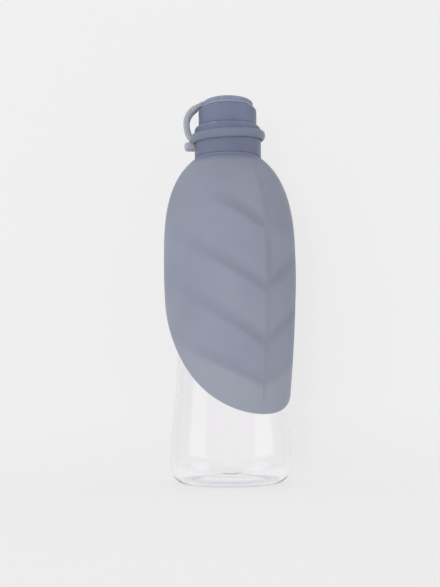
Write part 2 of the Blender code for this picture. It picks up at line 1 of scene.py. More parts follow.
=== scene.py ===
"""Looks of a pet water bottle with a silicone leaf bowl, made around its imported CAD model.

Metres and radians, +Z up. Every turned piece has Z as its axis, and the leaf's tip faces -Y.
Round the leaf, angle 0 is the midrib; the wide side is below 0 and the narrow side above it.
Pairs of leaf sizes give the wide side first. Tones are 8-bit display colours.
"""

import math

import bmesh
import bpy
import numpy as np
from mathutils import Matrix, Vector


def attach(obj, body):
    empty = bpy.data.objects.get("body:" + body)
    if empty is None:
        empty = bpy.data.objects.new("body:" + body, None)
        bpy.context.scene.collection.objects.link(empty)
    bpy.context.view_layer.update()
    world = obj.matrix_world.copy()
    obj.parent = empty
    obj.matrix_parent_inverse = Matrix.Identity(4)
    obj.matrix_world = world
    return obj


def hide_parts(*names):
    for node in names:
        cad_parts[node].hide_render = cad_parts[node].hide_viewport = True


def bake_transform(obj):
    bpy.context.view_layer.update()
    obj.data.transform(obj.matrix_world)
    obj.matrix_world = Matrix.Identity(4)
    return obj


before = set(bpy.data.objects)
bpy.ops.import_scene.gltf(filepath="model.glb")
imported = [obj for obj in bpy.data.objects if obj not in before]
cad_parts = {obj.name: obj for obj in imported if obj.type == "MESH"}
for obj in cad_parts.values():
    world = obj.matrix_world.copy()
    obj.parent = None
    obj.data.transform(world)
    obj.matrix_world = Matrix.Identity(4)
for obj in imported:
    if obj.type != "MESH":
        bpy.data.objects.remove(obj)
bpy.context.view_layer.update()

# How finely the pieces are cut, and when two points are one
TURN_STEPS = 144
BOTTLE_STEPS = 192
CORNER_STEPS = 7
PUNT_STEPS = 48
HEEL_STEPS = 26
SIDE_STEPS = 90
SHOULDER_STEPS = 30
CROWN_STEPS = 30
THREAD_STEPS = 96
THREAD_SECTION = 14
STRAP_ROWS = 60
TAIL_ROWS = 5
TAB_ROWS = 24
LUG_ROWS = 8
LEAF_STEPS = 300
LEAF_ROWS = 190
LEAF_RIM_ROWS = 15
LEAF_INNER_ROWS = 60
BACKDROP_STEPS = (12, 24)
SHARP_ANGLE = math.radians(40)
MERGE_DISTANCE = 1e-6
SAME_PLACE = 1e-7

# How far corners are cut back, where MOST_CUT is a share of the shorter side
MOST_CUT = 0.49
SHARP_CUT = 0.0002
FINE_CUT = 0.0003
EDGE_CUT = 0.0004

# Clear bottle
FOOT_INNER = 0.0235
FOOT_OUTER = 0.0260
PUNT_RISE = 0.0046
PUNT_POWER = 1.5
NUB_RADIUS = 0.0030
NUB_EDGE = 0.0004
NUB_STEP = 0.0005
BASE_RADIUS = 0.0348
HEEL_HEIGHT = 0.0100
WAIST_RADIUS = 0.0304
WAIST_HEIGHT = 0.0720
CHEST_RADIUS = 0.0336
CHEST_HEIGHT = 0.1320
SHOULDER_HEIGHT = 0.1460
SHOULDER_RISE = 0.0400
BODY_WALL = 0.0011
BASE_WALL = 0.0012
BASE_WALL_REACH = 0.0050
NECK_RADIUS = 0.0157
NECK_BORE = 0.0138
NECK_TOP = 0.2015
NECK_BLEND = 0.0006
NECK_BLEND_DROP = 0.0010
NECK_BLEND_CUT = 0.0020
BEAD_REACH = 0.0014
BEAD_BASE = 0.1821
BEAD_SLOPE = 0.0005
BEAD_TOP = 0.1835
NECK_THREAD = dict(base=0.1872, pitch=0.0035, turns=2.5, reach=0.00035, width=0.0014)

# How a thread's ridge fades at its ends and sinks into its wall there
THREAD_FADE = 0.9
THREAD_SINK = 0.0001
THREAD_END_WIDTH = 0.15

# Collar, spout and leaf's seat
COLLAR_RADIUS = 0.01965
COLLAR_BASE = 0.1847
COLLAR_BORE = 0.0162
COLLAR_SHOULDER_CUT = 0.0034
SPIGOT_RADIUS = 0.0179
FLANGE_RADIUS = 0.0187
FLANGE_TOP = 0.1861
FLANGE_CUT = 0.0006
BAND_BASE = 0.18972
COLLAR_TOP = 0.2083
DECK_UNDERSIDE = 0.2036
SPOUT_RADIUS = 0.0146
SPOUT_BORE = 0.0120
SPOUT_TOP = 0.2161
SPOUT_LIP_CUT = 0.0010
SPOUT_MOUTH_CUT = 0.0008
SPOUT_THREAD = dict(base=0.2102, pitch=0.003, turns=1.5, reach=0.00042, width=0.0012)

# Washers
GASKET = dict(bore=0.0132, radius=0.0159, base=0.2018, thickness=0.0015)
LINER = dict(bore=0.0117, radius=0.0150, base=0.2164, thickness=0.0012)

# Cap and button
CAP_RADIUS = 0.0172
CAP_BASE = 0.20845
CAP_TOP = 0.2198
CAP_CEILING = 0.2179
CAP_BORE = 0.0153
CAP_MOUTH_CUT = 0.0005
CAP_CORNER_CUT = 0.0026
CAP_THREAD = dict(base=0.2117, pitch=0.003, turns=1.3, reach=0.00030, width=0.0011, sign=-1.0)
PLUG_RADIUS = 0.0114
PLUG_BASE = 0.2135
PLUG_CUT = 0.0009
POCKET_RADIUS = 0.0098
POCKET_FLOOR = 0.2153
BUTTON_RADIUS = 0.0152
BUTTON_BASE = 0.22178
BUTTON_HEIGHT = 0.0040
BUTTON_ROUNDNESS = 2.6
BUTTON_LIP = 0.0001
SHANK_RADIUS = 0.0095
SHANK_BORE = 0.0079
SHANK_BASE = 0.2156
SHANK_TIP_CUT = 0.0005
HOLLOW_TOP = 0.0018
HOLLOW_EDGE = 0.0015
HOLLOW_CUT = 0.0008

# Tether's ring and pull tab
TETHER_AZIMUTH = math.radians(149)
RING_BORE = 0.01995
RING_RADIUS = 0.02222
RING_HEIGHT = 0.0050
RING_CENTRE = 0.2021
RING_TILT = math.radians(4.8)
RING_LOW_SIDE = math.radians(58)
RING_FOOT = (0.0010, 0.0018)
RING_BROW = (0.0005, 0.0012)
RING_BORE_CUT = 0.0006
RING_CUT = 0.0012
RING_WAIST_CUT = 0.0014
TAB_START = 0.0002
TAB_LENGTH = 0.0058
TAB_DROP = 0.0042
TAB_WIDTH = 0.0070
TAB_THICKNESS = 0.0048
TAB_ROUND = (0.72, 1.0001)
TAB_TIP_WIDTH = 0.55
TAB_TIP_THICKNESS = 0.45

# Tether's strap: a curve with a pull at each end, then a tail that runs into the eye
ROOT_INSET = 0.0010
ROOT_DROP = 0.00135
ROOT_ANGLE = math.radians(62)
ROOT_PULL = 0.0075
END_PLACE = (0.0162, 0.2216)
END_ANGLE = math.radians(-25)
END_PULL = 0.01285
STRAP_WIDTH = 0.0080
STRAP_THICKNESS = 0.0037
ROOT_THICKNESS = 0.0017
ROOT_SHARE = 0.25
ROOT_FLARE = 0.0016
ROOT_FLARE_ROWS = 10.0
END_THICKNESS = 0.0027
END_SHARE = 0.86
TAIL_RADII = (0.0159, 0.0145)
TAIL_BASE = 0.2218
TAIL_RISE = 0.0010
TAIL_START = 0.2
TAIL_THICKNESS = 0.0018

# Tether's eye and the lug under the strap's tail
EYE_BORE = 0.0098
EYE_RADIUS = 0.01516
EYE_BASE = 0.2200
EYE_THICKNESS = 0.0017
EYE_EDGE = 0.0001
LUG_RADII = (0.0138, 0.0158)
LUG_HEIGHT = 0.22085
LUG_INSET = 0.0002
LUG_THICKNESS = 0.0016

# Leaf
LEAF_CROWDING = 0.35
LEAF_TOP = 0.1896
LEAF_NECK_BORE = 0.0182
LEAF_NECK_BASE = 0.1869
LEAF_NECK_EASE = 0.0009
LEAF_NECK_EDGE = 0.0002
LEAF_RADIUS = 0.0386
LEAF_LEAN = 0.00107
LEAF_TIP_LEAN = 0.0022
LEAF_WIDEST = 0.1189
LEAF_TIP = 0.0399
LEAF_BACK = 0.1405
LEAF_TIP_RADIUS = 0.03162
MARGIN_SWEEP = 0.54
MARGIN_TURN = math.radians(3.3)
CROWN_POWER = 3.36
TAPER_POWER = 1.47
LEAF_WALL = 0.0018
LEAF_RIM = 0.0020
LEAF_RIM_REACH = 1.2
SLOPE_STEP = 0.0004

# Leaf's keel and midrib; 27/4 brings the highest value of s (1 - s)^2 to 1
KEEL_DEPTHS = (0.0006, 0.0013)
KEEL_SPREADS = (math.radians(50), math.radians(62))
KEEL_FADE = 0.020
KEEL_SCALE = 27 / 4
RIB_WIDTHS = (0.0014, 0.0120)
RIB_DEPTH = 0.0008
RIB_FADE = 0.006
RIB_FOOT = 0.004
RIB_SWAY = math.radians(1.7)
RIB_SWAY_REACH = 1.2

# Leaf's side veins, from the top down; VEIN_SLANT is about the cosine of their climb
VEIN_HEIGHTS = (0.1448, 0.1097, 0.0795, 0.0578)
VEIN_LENGTHS = (0.042, 0.072, 0.070, 0.066)
VEIN_DEPTHS = (0.0010, 0.0010, 0.0009, 0.0008)
VEIN_SHADES = (1.0, 0.8, 0.75, 0.3)
VEIN_NARROW_SIDE = (0.25, 1.0, 1.0, 1.0)
VEIN_NARROW_REACH = 0.6
VEIN_CLIMBS = (0.0245, 0.0245, 0.0245, 0.0170)
VEIN_SETTLE = 0.8
VEIN_FULL_SHARE = 0.2
VEIN_SLANT = 0.87
VEIN_ABOVE = 0.0080
VEIN_BELOW = 0.0042

# How strong the leaf's painted shades are and where they come up, on its outer face down to
# OUTSIDE_DEPTH
OUTSIDE_DEPTH = 0.0012
CREASE_RISE = 0.0004
CREASE_REACH = 0.0062
FACET_SHADE = 0.55
FACET_FOOT = (0.136, 0.146)
FACET_HEAD = (0.174, 0.158)
FACET_START = (0.0, 0.03)
FACET_END = (2.6, 1.6)
RIB_SIDE_SHADE = 0.28
RIB_SIDE_REACH = (0.010, 0.0)
RIB_SHADE = 0.60
RIB_SHADE_PLACE = 0.0020
RIB_SHADE_REACH = 0.0024
RIB_SHADE_HEAD = (0.148, 0.138)
RIB_SHADE_LOSS = 0.6
TIP_FADE = 0.006
# Heights of the painted shade at the leaf's neck, under the collar
LEAF_NECK_SHADE_RANGE = (0.1838, 0.1874)

# Tones, light and dark for each moulding, and what is laid over them, painted light and shade among
# them
# Collar's tones are darker than the cap's, as painted shade below the tether's ring
COLLAR_SHADED_TONES = ((116, 123, 148), (112, 118, 143))
CAP_TONES = ((120, 127, 154), (116, 123, 150))
# Dome's tones are lighter than the cap's, as painted light falling on its top
DOME_LIT_TONES = ((141, 146, 173), (137, 142, 169))
LEAF_TONES = ((156, 161, 178), (150, 155, 173))
# Ring's tones are darker than the strap's, as painted shade where the silicone lies over the dark
# collar
BAND_SHADED_TONES = ((129, 137, 160), (128, 135, 158))
STRAP_TONES = ((172, 175, 185), (166, 169, 180))
# Eye's tones are lighter, as painted light that fills the shade in its gap under the dome
EYE_LIT_TONES = ((156, 162, 188), (152, 158, 184))
WASHER_TONES = ((226, 227, 229), (218, 219, 222))
CLEAR_TONES = ((253, 252, 253), (251, 250, 251))
# Painted shade in the leaf's creases, on the midrib's flank and on the narrow side's upper facet
CREASE_SHADE_TONE = (96, 100, 118)
CREASE_SHADE_SHARE = 0.22
# Painted light: the leaf's panel below its lowest vein made paler
TIP_LIGHT_TONE = (161, 166, 180)
# Painted shade at the leaf's neck, under the collar
LEAF_NECK_SHADE_TONE = (134, 140, 166)
LINT_TONE = (206, 208, 214)
LINT_SHARE = 0.22
# Lighter corners: wear, and a painted highlight on top edges
WORN_AND_LIT_EDGE_TONE = (164, 169, 192)
WORN_AND_LIT_EDGE_SHARE = 0.6
# Painted shade at the bottle's foot for the dark line where it stands, partly the tint of its thicker
# plastic
FOOT_SHADE_TONE = (200, 205, 215)
FOOT_SHADE_RADII = (0.0305, 0.0275)
FOOT_SHADE_HEIGHTS = (0.0024, 0.0004)

# Grain, lint, and corners lightened by wear and a painted highlight, each by the inputs of its node
# group
SILICONE_GRAIN = {"Scale": 1400.0, "Mottle Scale": 28.0}
PLASTIC_GRAIN = {"Scale": 1700.0, "Mottle Scale": 55.0}
CLEAR_GRAIN = {"Scale": 120.0, "Mottle Scale": 22.0}
LINT = {"Scale": 800.0, "Patch Scale": 70.0}
COLLAR_CORNER = {"Radius": 0.0189, "Level": 0.2074, "Reach": 0.0014}
CAP_CORNER = {"Radius": 0.0166, "Level": 0.2192, "Reach": 0.0009}
# The dome's lighter edge is broad, mostly a painted highlight
DOME_CORNER = {"Radius": 0.0150, "Level": 0.2228, "Reach": 0.0024}
MOTTLE_RANGE = (0.35, 0.65)
ROUGHNESS_RANGE = (0.3, 0.7)
SPECK_RANGE = (0.16, 0.05)
PATCH_RANGE = (0.5, 0.7)
BREAK_RANGE = (0.42, 0.66)
BREAK_SCALE = 350.0

# Finishes, by the shader's sockets, with their roughness and the strength and depth of their bump
SILICONE_FINISH = {"IOR": 1.41, "Specular IOR Level": 0.35}
BAND_FINISH = {**SILICONE_FINISH, "Sheen Weight": 0.35, "Sheen Roughness": 0.4}
STRAP_GLOW = {"Subsurface Weight": 0.8, "Subsurface Radius": (1.0, 1.0, 1.0), "Subsurface Scale": 0.010}
STRAP_FINISH = {**SILICONE_FINISH, **STRAP_GLOW}
SILICONE_ROUGHNESS = (0.50, 0.64)
SILICONE_BUMP = (0.12, 0.00012)
PLASTIC_FINISH = {"IOR": 1.49}
PLASTIC_ROUGHNESS = (0.40, 0.52)
PLASTIC_BUMP = (0.10, 0.00010)
CLEAR_FINISH = {"IOR": 1.5, "Transmission Weight": 1.0}
CLEAR_ROUGHNESS = (0.0, 0.03)
CLEAR_BUMP = (0.05, 0.00060)

# Camera
CAMERA_AZIMUTH = math.radians(-31)
CAMERA_PITCH = math.radians(5.27)
CAMERA_ROLL = math.radians(-0.52)
CAMERA_DISTANCE = 0.585
CAMERA_HEIGHT = 0.0555
CAMERA_SHIFT = -0.00542
FOCAL_PIXELS = 1003.0
PHOTO_HEIGHT = 587.0
SENSOR_WIDTH = 36.0
NEAREST_VIEW = 0.01

# Backdrop, room and lamps; panels and lamps lie round the camera's side, in degrees
PALE_TONE = (239, 239, 239)
WALL_DISTANCE = 0.085
WALL_HEIGHT = 2.5
BACKDROP_REACH = 3.0
BACKDROP_BEND = 0.04
PAPER_LIGHT = 1.05
PAPER_GLOW = 0.78
CARD_EDGES = (0.05, 0.20)
CARD_DARK = 0.40
ROOM_LEVEL = 0.80
ROOM_AMBIENT = 0.52
LEFT_PANEL = (52, 84)
RIGHT_PANEL = (50, 86)
PANEL_LIGHT = (0.75, 0.8)
PANEL_EDGE = (8, 4)
LAMP_AIM = (0.0, 0.0, 0.12)
KEY_LAMP = dict(azimuth=-24.0, height=0.72, distance=1.20, size=(0.9, 0.9), power=3.0)
CAMERA_LAMP = dict(azimuth=-11.0, height=0.04, distance=1.60, size=(0.16, 0.22), power=5.0)


# Shapes

def smooth_step(value):
    """Eased share: 0 at 0, 1 at 1, as 3v^2 - 2v^3."""
    value = np.clip(value, 0.0, 1.0)
    return value * value * (3.0 - 2.0 * value)


def eased(value, start, end):
    """Eased share of the way from start to end, which may run downward."""
    return smooth_step((value - start) / (end - start))


def columns(*values):
    """Values side by side as the columns of points, each a number or an array."""
    return np.stack(np.broadcast_arrays(*values), axis=-1)


def rounded(corners, closed=True):
    """Outline (r, z) through corners (r, z, cut).

    Each corner is cut back by cut along both sides and filled with a quadratic curve,
    p(s) = (1-s)^2 a + 2s(1-s) corner + s^2 b.
    """
    corners = np.array(corners, float)
    place, cut = corners[:, :2], corners[:, 2]
    before = np.roll(place, 1, axis=0) - place
    after = np.roll(place, -1, axis=0) - place
    if not closed:
        before[0] = after[0]
        after[-1] = before[-1]
        cut[[0, -1]] = 0.0
    lengths = [np.maximum(np.linalg.norm(side, axis=1), SAME_PLACE) for side in (before, after)]
    cut = np.minimum(cut, MOST_CUT * np.minimum(*lengths))[:, None]
    start = place + before / lengths[0][:, None] * cut
    end = place + after / lengths[1][:, None] * cut
    share = np.linspace(0.0, 1.0, CORNER_STEPS)[None, :, None]
    curve = (1 - share) ** 2 * start[:, None] + 2 * share * (1 - share) * place[:, None]
    curve = (curve + share ** 2 * end[:, None]).reshape(-1, 2)
    step = np.linalg.norm(np.diff(curve, axis=0), axis=1)
    return curve[np.concatenate([[True], step > SAME_PLACE])]


def turned_points(profile, steps=TURN_STEPS):
    """Profile (r, z) carried round Z: x = r cos a, y = r sin a, with a from 0 to 2 pi."""
    angle = np.linspace(0.0, math.tau, steps, endpoint=False)
    radius, height = profile[:, 0, None], profile[:, 1, None]
    return columns(radius * np.cos(angle), radius * np.sin(angle), height)


def with_ends(points):
    """Rows of a tube, closed by a row at each end that shrinks to its middle."""
    middles = [np.broadcast_to(row.mean(axis=0), row.shape) for row in (points[0], points[-1])]
    return np.concatenate([middles[:1], points, middles[1:]])


def grid_mesh(name, points, across=True, along=False):
    """Smooth mesh over a (rows, columns, 3) grid of points.

    across joins the last column to the first, and along the last row to the first.
    Rows that shrink to one place are merged into a pole.
    """
    rows, count = points.shape[:2]
    index = np.arange(rows * count).reshape(rows, count)
    here = index if along else index[:-1]
    there = np.roll(index, -1, axis=0) if along else index[1:]
    if across:
        right = [np.roll(here, -1, axis=1), np.roll(there, -1, axis=1)]
    else:
        right = [here[:, 1:], there[:, 1:]]
        here, there = here[:, :-1], there[:, :-1]
    faces = np.stack([here, right[0], right[1], there], axis=-1).reshape(-1, 4)
    mesh = bpy.data.meshes.new(name)
    mesh.from_pydata(points.reshape(-1, 3).tolist(), [], faces.tolist())
    bm = bmesh.new()
    bm.from_mesh(mesh)
    bmesh.ops.remove_doubles(bm, verts=bm.verts, dist=MERGE_DISTANCE)
    bmesh.ops.recalc_face_normals(bm, faces=bm.faces)
    bm.to_mesh(mesh)
    bm.free()
    mesh.shade_smooth()
    mesh.set_sharp_from_angle(angle=SHARP_ANGLE)
    piece = bpy.data.objects.new(name, mesh)
    bpy.context.scene.collection.objects.link(piece)
    return piece


def dress(piece, material, body=None, node=None):
    """Give a piece its material and slot, its body, and the CAD node that it stands for."""
    piece.data.materials.append(material)
    if body:
        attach(piece, body)
    if node:
        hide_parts(node)


def helix_ridge(name, radius, base, pitch, turns, reach, width, sign=1.0):
    """Thread ridge carried along a right-hand helix.

    Along a: (r cos a, r sin a, base + pitch a / 2 pi); the section is an oval that reaches
    out of the wall by reach (into the bore when sign is -1) and fades at both ends.
    """
    along = np.linspace(0.0, math.tau * turns, int(THREAD_STEPS * turns))[:, None]
    around = np.linspace(0.0, math.tau, THREAD_SECTION, endpoint=False)[None, :]
    fade = smooth_step(np.minimum(along, math.tau * turns - along) / THREAD_FADE)
    half = width / 2 * (THREAD_END_WIDTH + (1.0 - THREAD_END_WIDTH) * fade)
    out = radius + sign * (reach * fade * np.cos(around) - THREAD_SINK * (1.0 - fade))
    up = base + pitch * along / math.tau + half * np.sin(around)
    return grid_mesh(name, with_ends(columns(out * np.cos(along), out * np.sin(along), up)))


def washer(name, bore, radius, base, thickness, edge=EDGE_CUT):
    """Flat washer with broken edges, turned from a rounded rectangle."""
    top = base + thickness
    corners = [(bore, base, edge), (radius, base, edge), (radius, top, edge), (bore, top, edge)]
    return grid_mesh(name, turned_points(rounded(corners)), along=True)


# Clear bottle

def body_radius(height):
    """Outer radius by height: two half cosines, base to waist and waist to chest, then an ellipse."""
    flare = np.cos(math.pi * (height - HEEL_HEIGHT) / (WAIST_HEIGHT - HEEL_HEIGHT))
    lower = WAIST_RADIUS + (BASE_RADIUS - WAIST_RADIUS) * (1.0 + flare) / 2.0
    swell = np.cos(math.pi * (height - WAIST_HEIGHT) / (CHEST_HEIGHT - WAIST_HEIGHT))
    middle = WAIST_RADIUS + (CHEST_RADIUS - WAIST_RADIUS) * (1.0 - swell) / 2.0
    rise = np.clip((height - SHOULDER_HEIGHT) / SHOULDER_RISE, 0.0, 1.0)
    upper = CHEST_RADIUS * np.sqrt(1.0 - rise * rise)
    return np.where(height < WAIST_HEIGHT, lower, np.where(height < CHEST_HEIGHT, middle, upper))


def punt_line(lift, nub_step=0.0):
    """Domed punt from the axis to the foot, z = H (1 - (r/R)^2)^n, with a small gate nub."""
    radius = FOOT_INNER * np.sin(np.linspace(0.0, math.pi / 2, PUNT_STEPS))
    height = PUNT_RISE * (1.0 - (radius / FOOT_INNER) ** 2) ** PUNT_POWER + lift
    nub = eased(radius, NUB_RADIUS + NUB_EDGE, NUB_RADIUS - NUB_EDGE)
    return columns(radius, height - nub * nub_step)


def left_of(line):
    """Unit normals of a line (r, z), to its left as it runs."""
    run = np.gradient(line, axis=0)
    run /= np.linalg.norm(run, axis=1)[:, None]
    return columns(-run[:, 1], run[:, 0])


def make_bottle(material):
    """Blown bottle: punt, foot, heel, flare, waist, shoulder, neck and lip, and back inside."""
    turn = np.linspace(math.pi / 2, 0.0, HEEL_STEPS)
    reach = BASE_RADIUS - FOOT_OUTER
    heel = columns(FOOT_OUTER + reach * np.cos(turn), HEEL_HEIGHT * (1.0 - np.sin(turn)))
    top = SHOULDER_HEIGHT + SHOULDER_RISE * math.sqrt(1.0 - (NECK_RADIUS / CHEST_RADIUS) ** 2)
    rise = np.sin(np.linspace(0.0, math.pi / 2, SHOULDER_STEPS))
    height = np.concatenate([
        np.linspace(HEEL_HEIGHT, SHOULDER_HEIGHT, SIDE_STEPS)[1:],
        SHOULDER_HEIGHT + (top - SHOULDER_HEIGHT) * rise[1:],
    ])
    wall = np.concatenate([heel, columns(body_radius(height), height)])
    bead = NECK_RADIUS + BEAD_REACH
    neck = rounded([
        (NECK_RADIUS, top + SHARP_CUT / 2, 0.0),
        (NECK_RADIUS, BEAD_BASE, SHARP_CUT),
        (bead, BEAD_BASE + BEAD_SLOPE, EDGE_CUT),
        (bead, BEAD_TOP, FINE_CUT),
        (NECK_RADIUS, BEAD_TOP, FINE_CUT),
        (NECK_RADIUS, NECK_TOP, EDGE_CUT),
        (NECK_BORE, NECK_TOP, EDGE_CUT),
        (NECK_BORE, top, NECK_BLEND_CUT),
        (NECK_BORE + NECK_BLEND, top - NECK_BLEND_DROP, 0.0),
    ], closed=False)
    thick = BODY_WALL + (BASE_WALL - BODY_WALL) * eased(wall[1:, 1], BASE_WALL_REACH, 0.0)
    inner = wall[1:] + left_of(wall[1:]) * thick[:, None]
    inner = inner[inner[:, 0] > NECK_BORE + NECK_BLEND]
    floor = punt_line(BASE_WALL)[:-2]
    profile = np.concatenate([punt_line(0.0, NUB_STEP), wall, neck, inner[::-1], floor[::-1]])
    bottle = grid_mesh("clear_bottle", turned_points(profile, BOTTLE_STEPS))
    dress(bottle, material, "bottle", "bottle_body")
    ridge = helix_ridge("neck_thread", NECK_RADIUS, **NECK_THREAD)
    dress(ridge, material, "bottle")


# Collar, cap and button

def make_collar(material):
    """Collar: bore, flange, groove for the leaf, band with a round shoulder, deck and spout."""
    profile = rounded([
        (COLLAR_BORE, COLLAR_BASE, FINE_CUT),
        (FLANGE_RADIUS, COLLAR_BASE, FLANGE_CUT),
        (FLANGE_RADIUS, FLANGE_TOP, FINE_CUT),
        (SPIGOT_RADIUS, FLANGE_TOP, FINE_CUT),
        (SPIGOT_RADIUS, BAND_BASE, SHARP_CUT),
        (COLLAR_RADIUS, BAND_BASE, SHARP_CUT),
        (COLLAR_RADIUS, COLLAR_TOP, COLLAR_SHOULDER_CUT),
        (SPOUT_RADIUS, COLLAR_TOP, EDGE_CUT),
        (SPOUT_RADIUS, SPOUT_TOP, SPOUT_LIP_CUT),
        (SPOUT_BORE, SPOUT_TOP, SPOUT_MOUTH_CUT),
        (SPOUT_BORE, DECK_UNDERSIDE, EDGE_CUT),
        (COLLAR_BORE, DECK_UNDERSIDE, EDGE_CUT),
    ])
    collar = grid_mesh("collar", turned_points(profile), along=True)
    dress(collar, material, "collar", "spout_collar")
    ridge = helix_ridge("spout_thread", SPOUT_RADIUS, **SPOUT_THREAD)
    dress(ridge, material, "collar")


def make_cap(material):
    """Cap: plug that enters the spout, skirt, round top corner and the button's pocket."""
    profile = rounded([
        (0.0, PLUG_BASE, 0.0),
        (PLUG_RADIUS, PLUG_BASE, PLUG_CUT),
        (PLUG_RADIUS, CAP_CEILING, FINE_CUT),
        (CAP_BORE, CAP_CEILING, FINE_CUT),
        (CAP_BORE, CAP_BASE, CAP_MOUTH_CUT),
        (CAP_RADIUS, CAP_BASE, FINE_CUT),
        (CAP_RADIUS, CAP_TOP, CAP_CORNER_CUT),
        (POCKET_RADIUS, CAP_TOP, FINE_CUT),
        (POCKET_RADIUS, POCKET_FLOOR, FINE_CUT),
        (0.0, POCKET_FLOOR, 0.0),
    ], closed=False)
    cap = grid_mesh("cap", turned_points(profile))
    dress(cap, material, "cap", "cap_shell")
    ridge = helix_ridge("cap_thread", CAP_BORE, **CAP_THREAD)
    dress(ridge, material, "cap")


def make_button(material):
    """Button: hollow shank and a crown, r = R cos(t)^(2/n), z = H sin(t)^(2/n)."""
    turn = np.linspace(0.0, math.pi / 2, CROWN_STEPS)
    power = 2.0 / BUTTON_ROUNDNESS
    crown = columns(BUTTON_RADIUS * np.cos(turn) ** power,
                    BUTTON_BASE + BUTTON_HEIGHT * np.sin(turn) ** power)
    crown[-1, 0] = 0.0
    under = rounded([
        (0.0, BUTTON_BASE + HOLLOW_TOP, 0.0),
        (SHANK_BORE, BUTTON_BASE + HOLLOW_EDGE, HOLLOW_CUT),
        (SHANK_BORE, SHANK_BASE, FINE_CUT),
        (SHANK_RADIUS, SHANK_BASE, SHANK_TIP_CUT),
        (SHANK_RADIUS, BUTTON_BASE, FINE_CUT),
        (BUTTON_RADIUS - BUTTON_LIP, BUTTON_BASE, BUTTON_LIP),
        (BUTTON_RADIUS, BUTTON_BASE + BUTTON_LIP, 0.0),
    ], closed=False)
    button = grid_mesh("cap_button_dome", turned_points(np.concatenate([under, crown])))
    dress(button, material, "cap", "cap_button")


# Tether

def swing(points, angle):
    """Points turned about Z by an angle."""
    c, s = math.cos(angle), math.sin(angle)
    return points @ np.array([[c, -s, 0.0], [s, c, 0.0], [0.0, 0.0, 1.0]]).T


def tilted(points):
    """Ring points tilted about the horizontal line square to its low side, then raised."""
    c, s = math.cos(RING_TILT), math.sin(RING_TILT)
    lean = np.array([[c, 0.0, s], [0.0, 1.0, 0.0], [-s, 0.0, c]])
    placed = swing(swing(points, -RING_LOW_SIDE) @ lean.T, RING_LOW_SIDE)
    return swing(placed + [0.0, 0.0, RING_CENTRE], TETHER_AZIMUTH)


def oval_section(width, thickness, power=4.0, steps=40):
    """Rounded rectangle as a superellipse, |x/a|^n + |y/b|^n = 1, as (across, up) offsets."""
    turn = np.linspace(0.0, math.tau, steps, endpoint=False)
    shape = [np.sign(part) * np.abs(part) ** (2.0 / power) for part in (np.cos(turn), np.sin(turn))]
    return np.multiply.outer(width / 2, shape[0]), np.multiply.outer(thickness / 2, shape[1])


def band_mesh(name, line, width, thickness):
    """Rounded section carried along a line (r, z) in the tether's own plane, across being y."""
    width, thickness, _ = np.broadcast_arrays(width, thickness, line[:, 0])
    across, up = oval_section(width, thickness)
    place = line[:, None, :] + left_of(line)[:, None, :] * up[:, :, None]
    points = columns(place[..., 0], across, place[..., 1])
    return grid_mesh(name, swing(with_ends(points), TETHER_AZIMUTH))


def ring_height_at_root():
    """Height of the ring's middle at the strap's root."""
    middle = RING_RADIUS - ROOT_INSET
    return RING_CENTRE - middle * math.sin(RING_TILT) * math.cos(RING_LOW_SIDE)


def strap_line(share):
    """Middle line of the strap, a cubic curve from the ring's wall to the eye's disc."""
    root = np.array([RING_RADIUS - ROOT_INSET, ring_height_at_root() - ROOT_DROP])
    end = np.array(END_PLACE)
    first = root + ROOT_PULL * np.array([math.cos(ROOT_ANGLE), math.sin(ROOT_ANGLE)])
    second = end + END_PULL * np.array([math.cos(END_ANGLE), math.sin(END_ANGLE)])
    share = share[:, None]
    rest = 1.0 - share
    line = root * rest ** 3 + first * 3 * rest ** 2 * share
    return line + second * 3 * rest * share ** 2 + end * share ** 3


def make_ring(material):
    """Ring round the collar, with a chamfered foot and a softer brow."""
    half = RING_HEIGHT / 2
    section = rounded([
        (RING_BORE, -half, RING_BORE_CUT),
        (RING_RADIUS - RING_FOOT[0], -half, RING_CUT),
        (RING_RADIUS, -half + RING_FOOT[1], RING_WAIST_CUT),
        (RING_RADIUS, half - RING_BROW[1], RING_CUT),
        (RING_RADIUS - RING_BROW[0], half, RING_CUT),
        (RING_BORE, half, RING_BORE_CUT),
    ])
    ring = grid_mesh("tether_band", tilted(turned_points(section)), along=True)
    dress(ring, material, "tether", "tether_ring")


def make_tab(material):
    """Pull tab under the strap's root, rounded toward its tip as a quarter ellipse."""
    share = np.linspace(0.0, 1.0, TAB_ROWS)
    line = columns(COLLAR_RADIUS + TAB_START + share * TAB_LENGTH, ring_height_at_root() - TAB_DROP)
    tip = np.clip((share - TAB_ROUND[0]) / (TAB_ROUND[1] - TAB_ROUND[0]), 0.0, 1.0)
    left = np.sqrt(1.0 - tip ** 2)
    width = TAB_WIDTH * (TAB_TIP_WIDTH + (1.0 - TAB_TIP_WIDTH) * left)
    thickness = TAB_THICKNESS * (TAB_TIP_THICKNESS + (1.0 - TAB_TIP_THICKNESS) * left)
    tab = band_mesh("pull_tab", line, width, thickness)
    dress(tab, material, "tether")


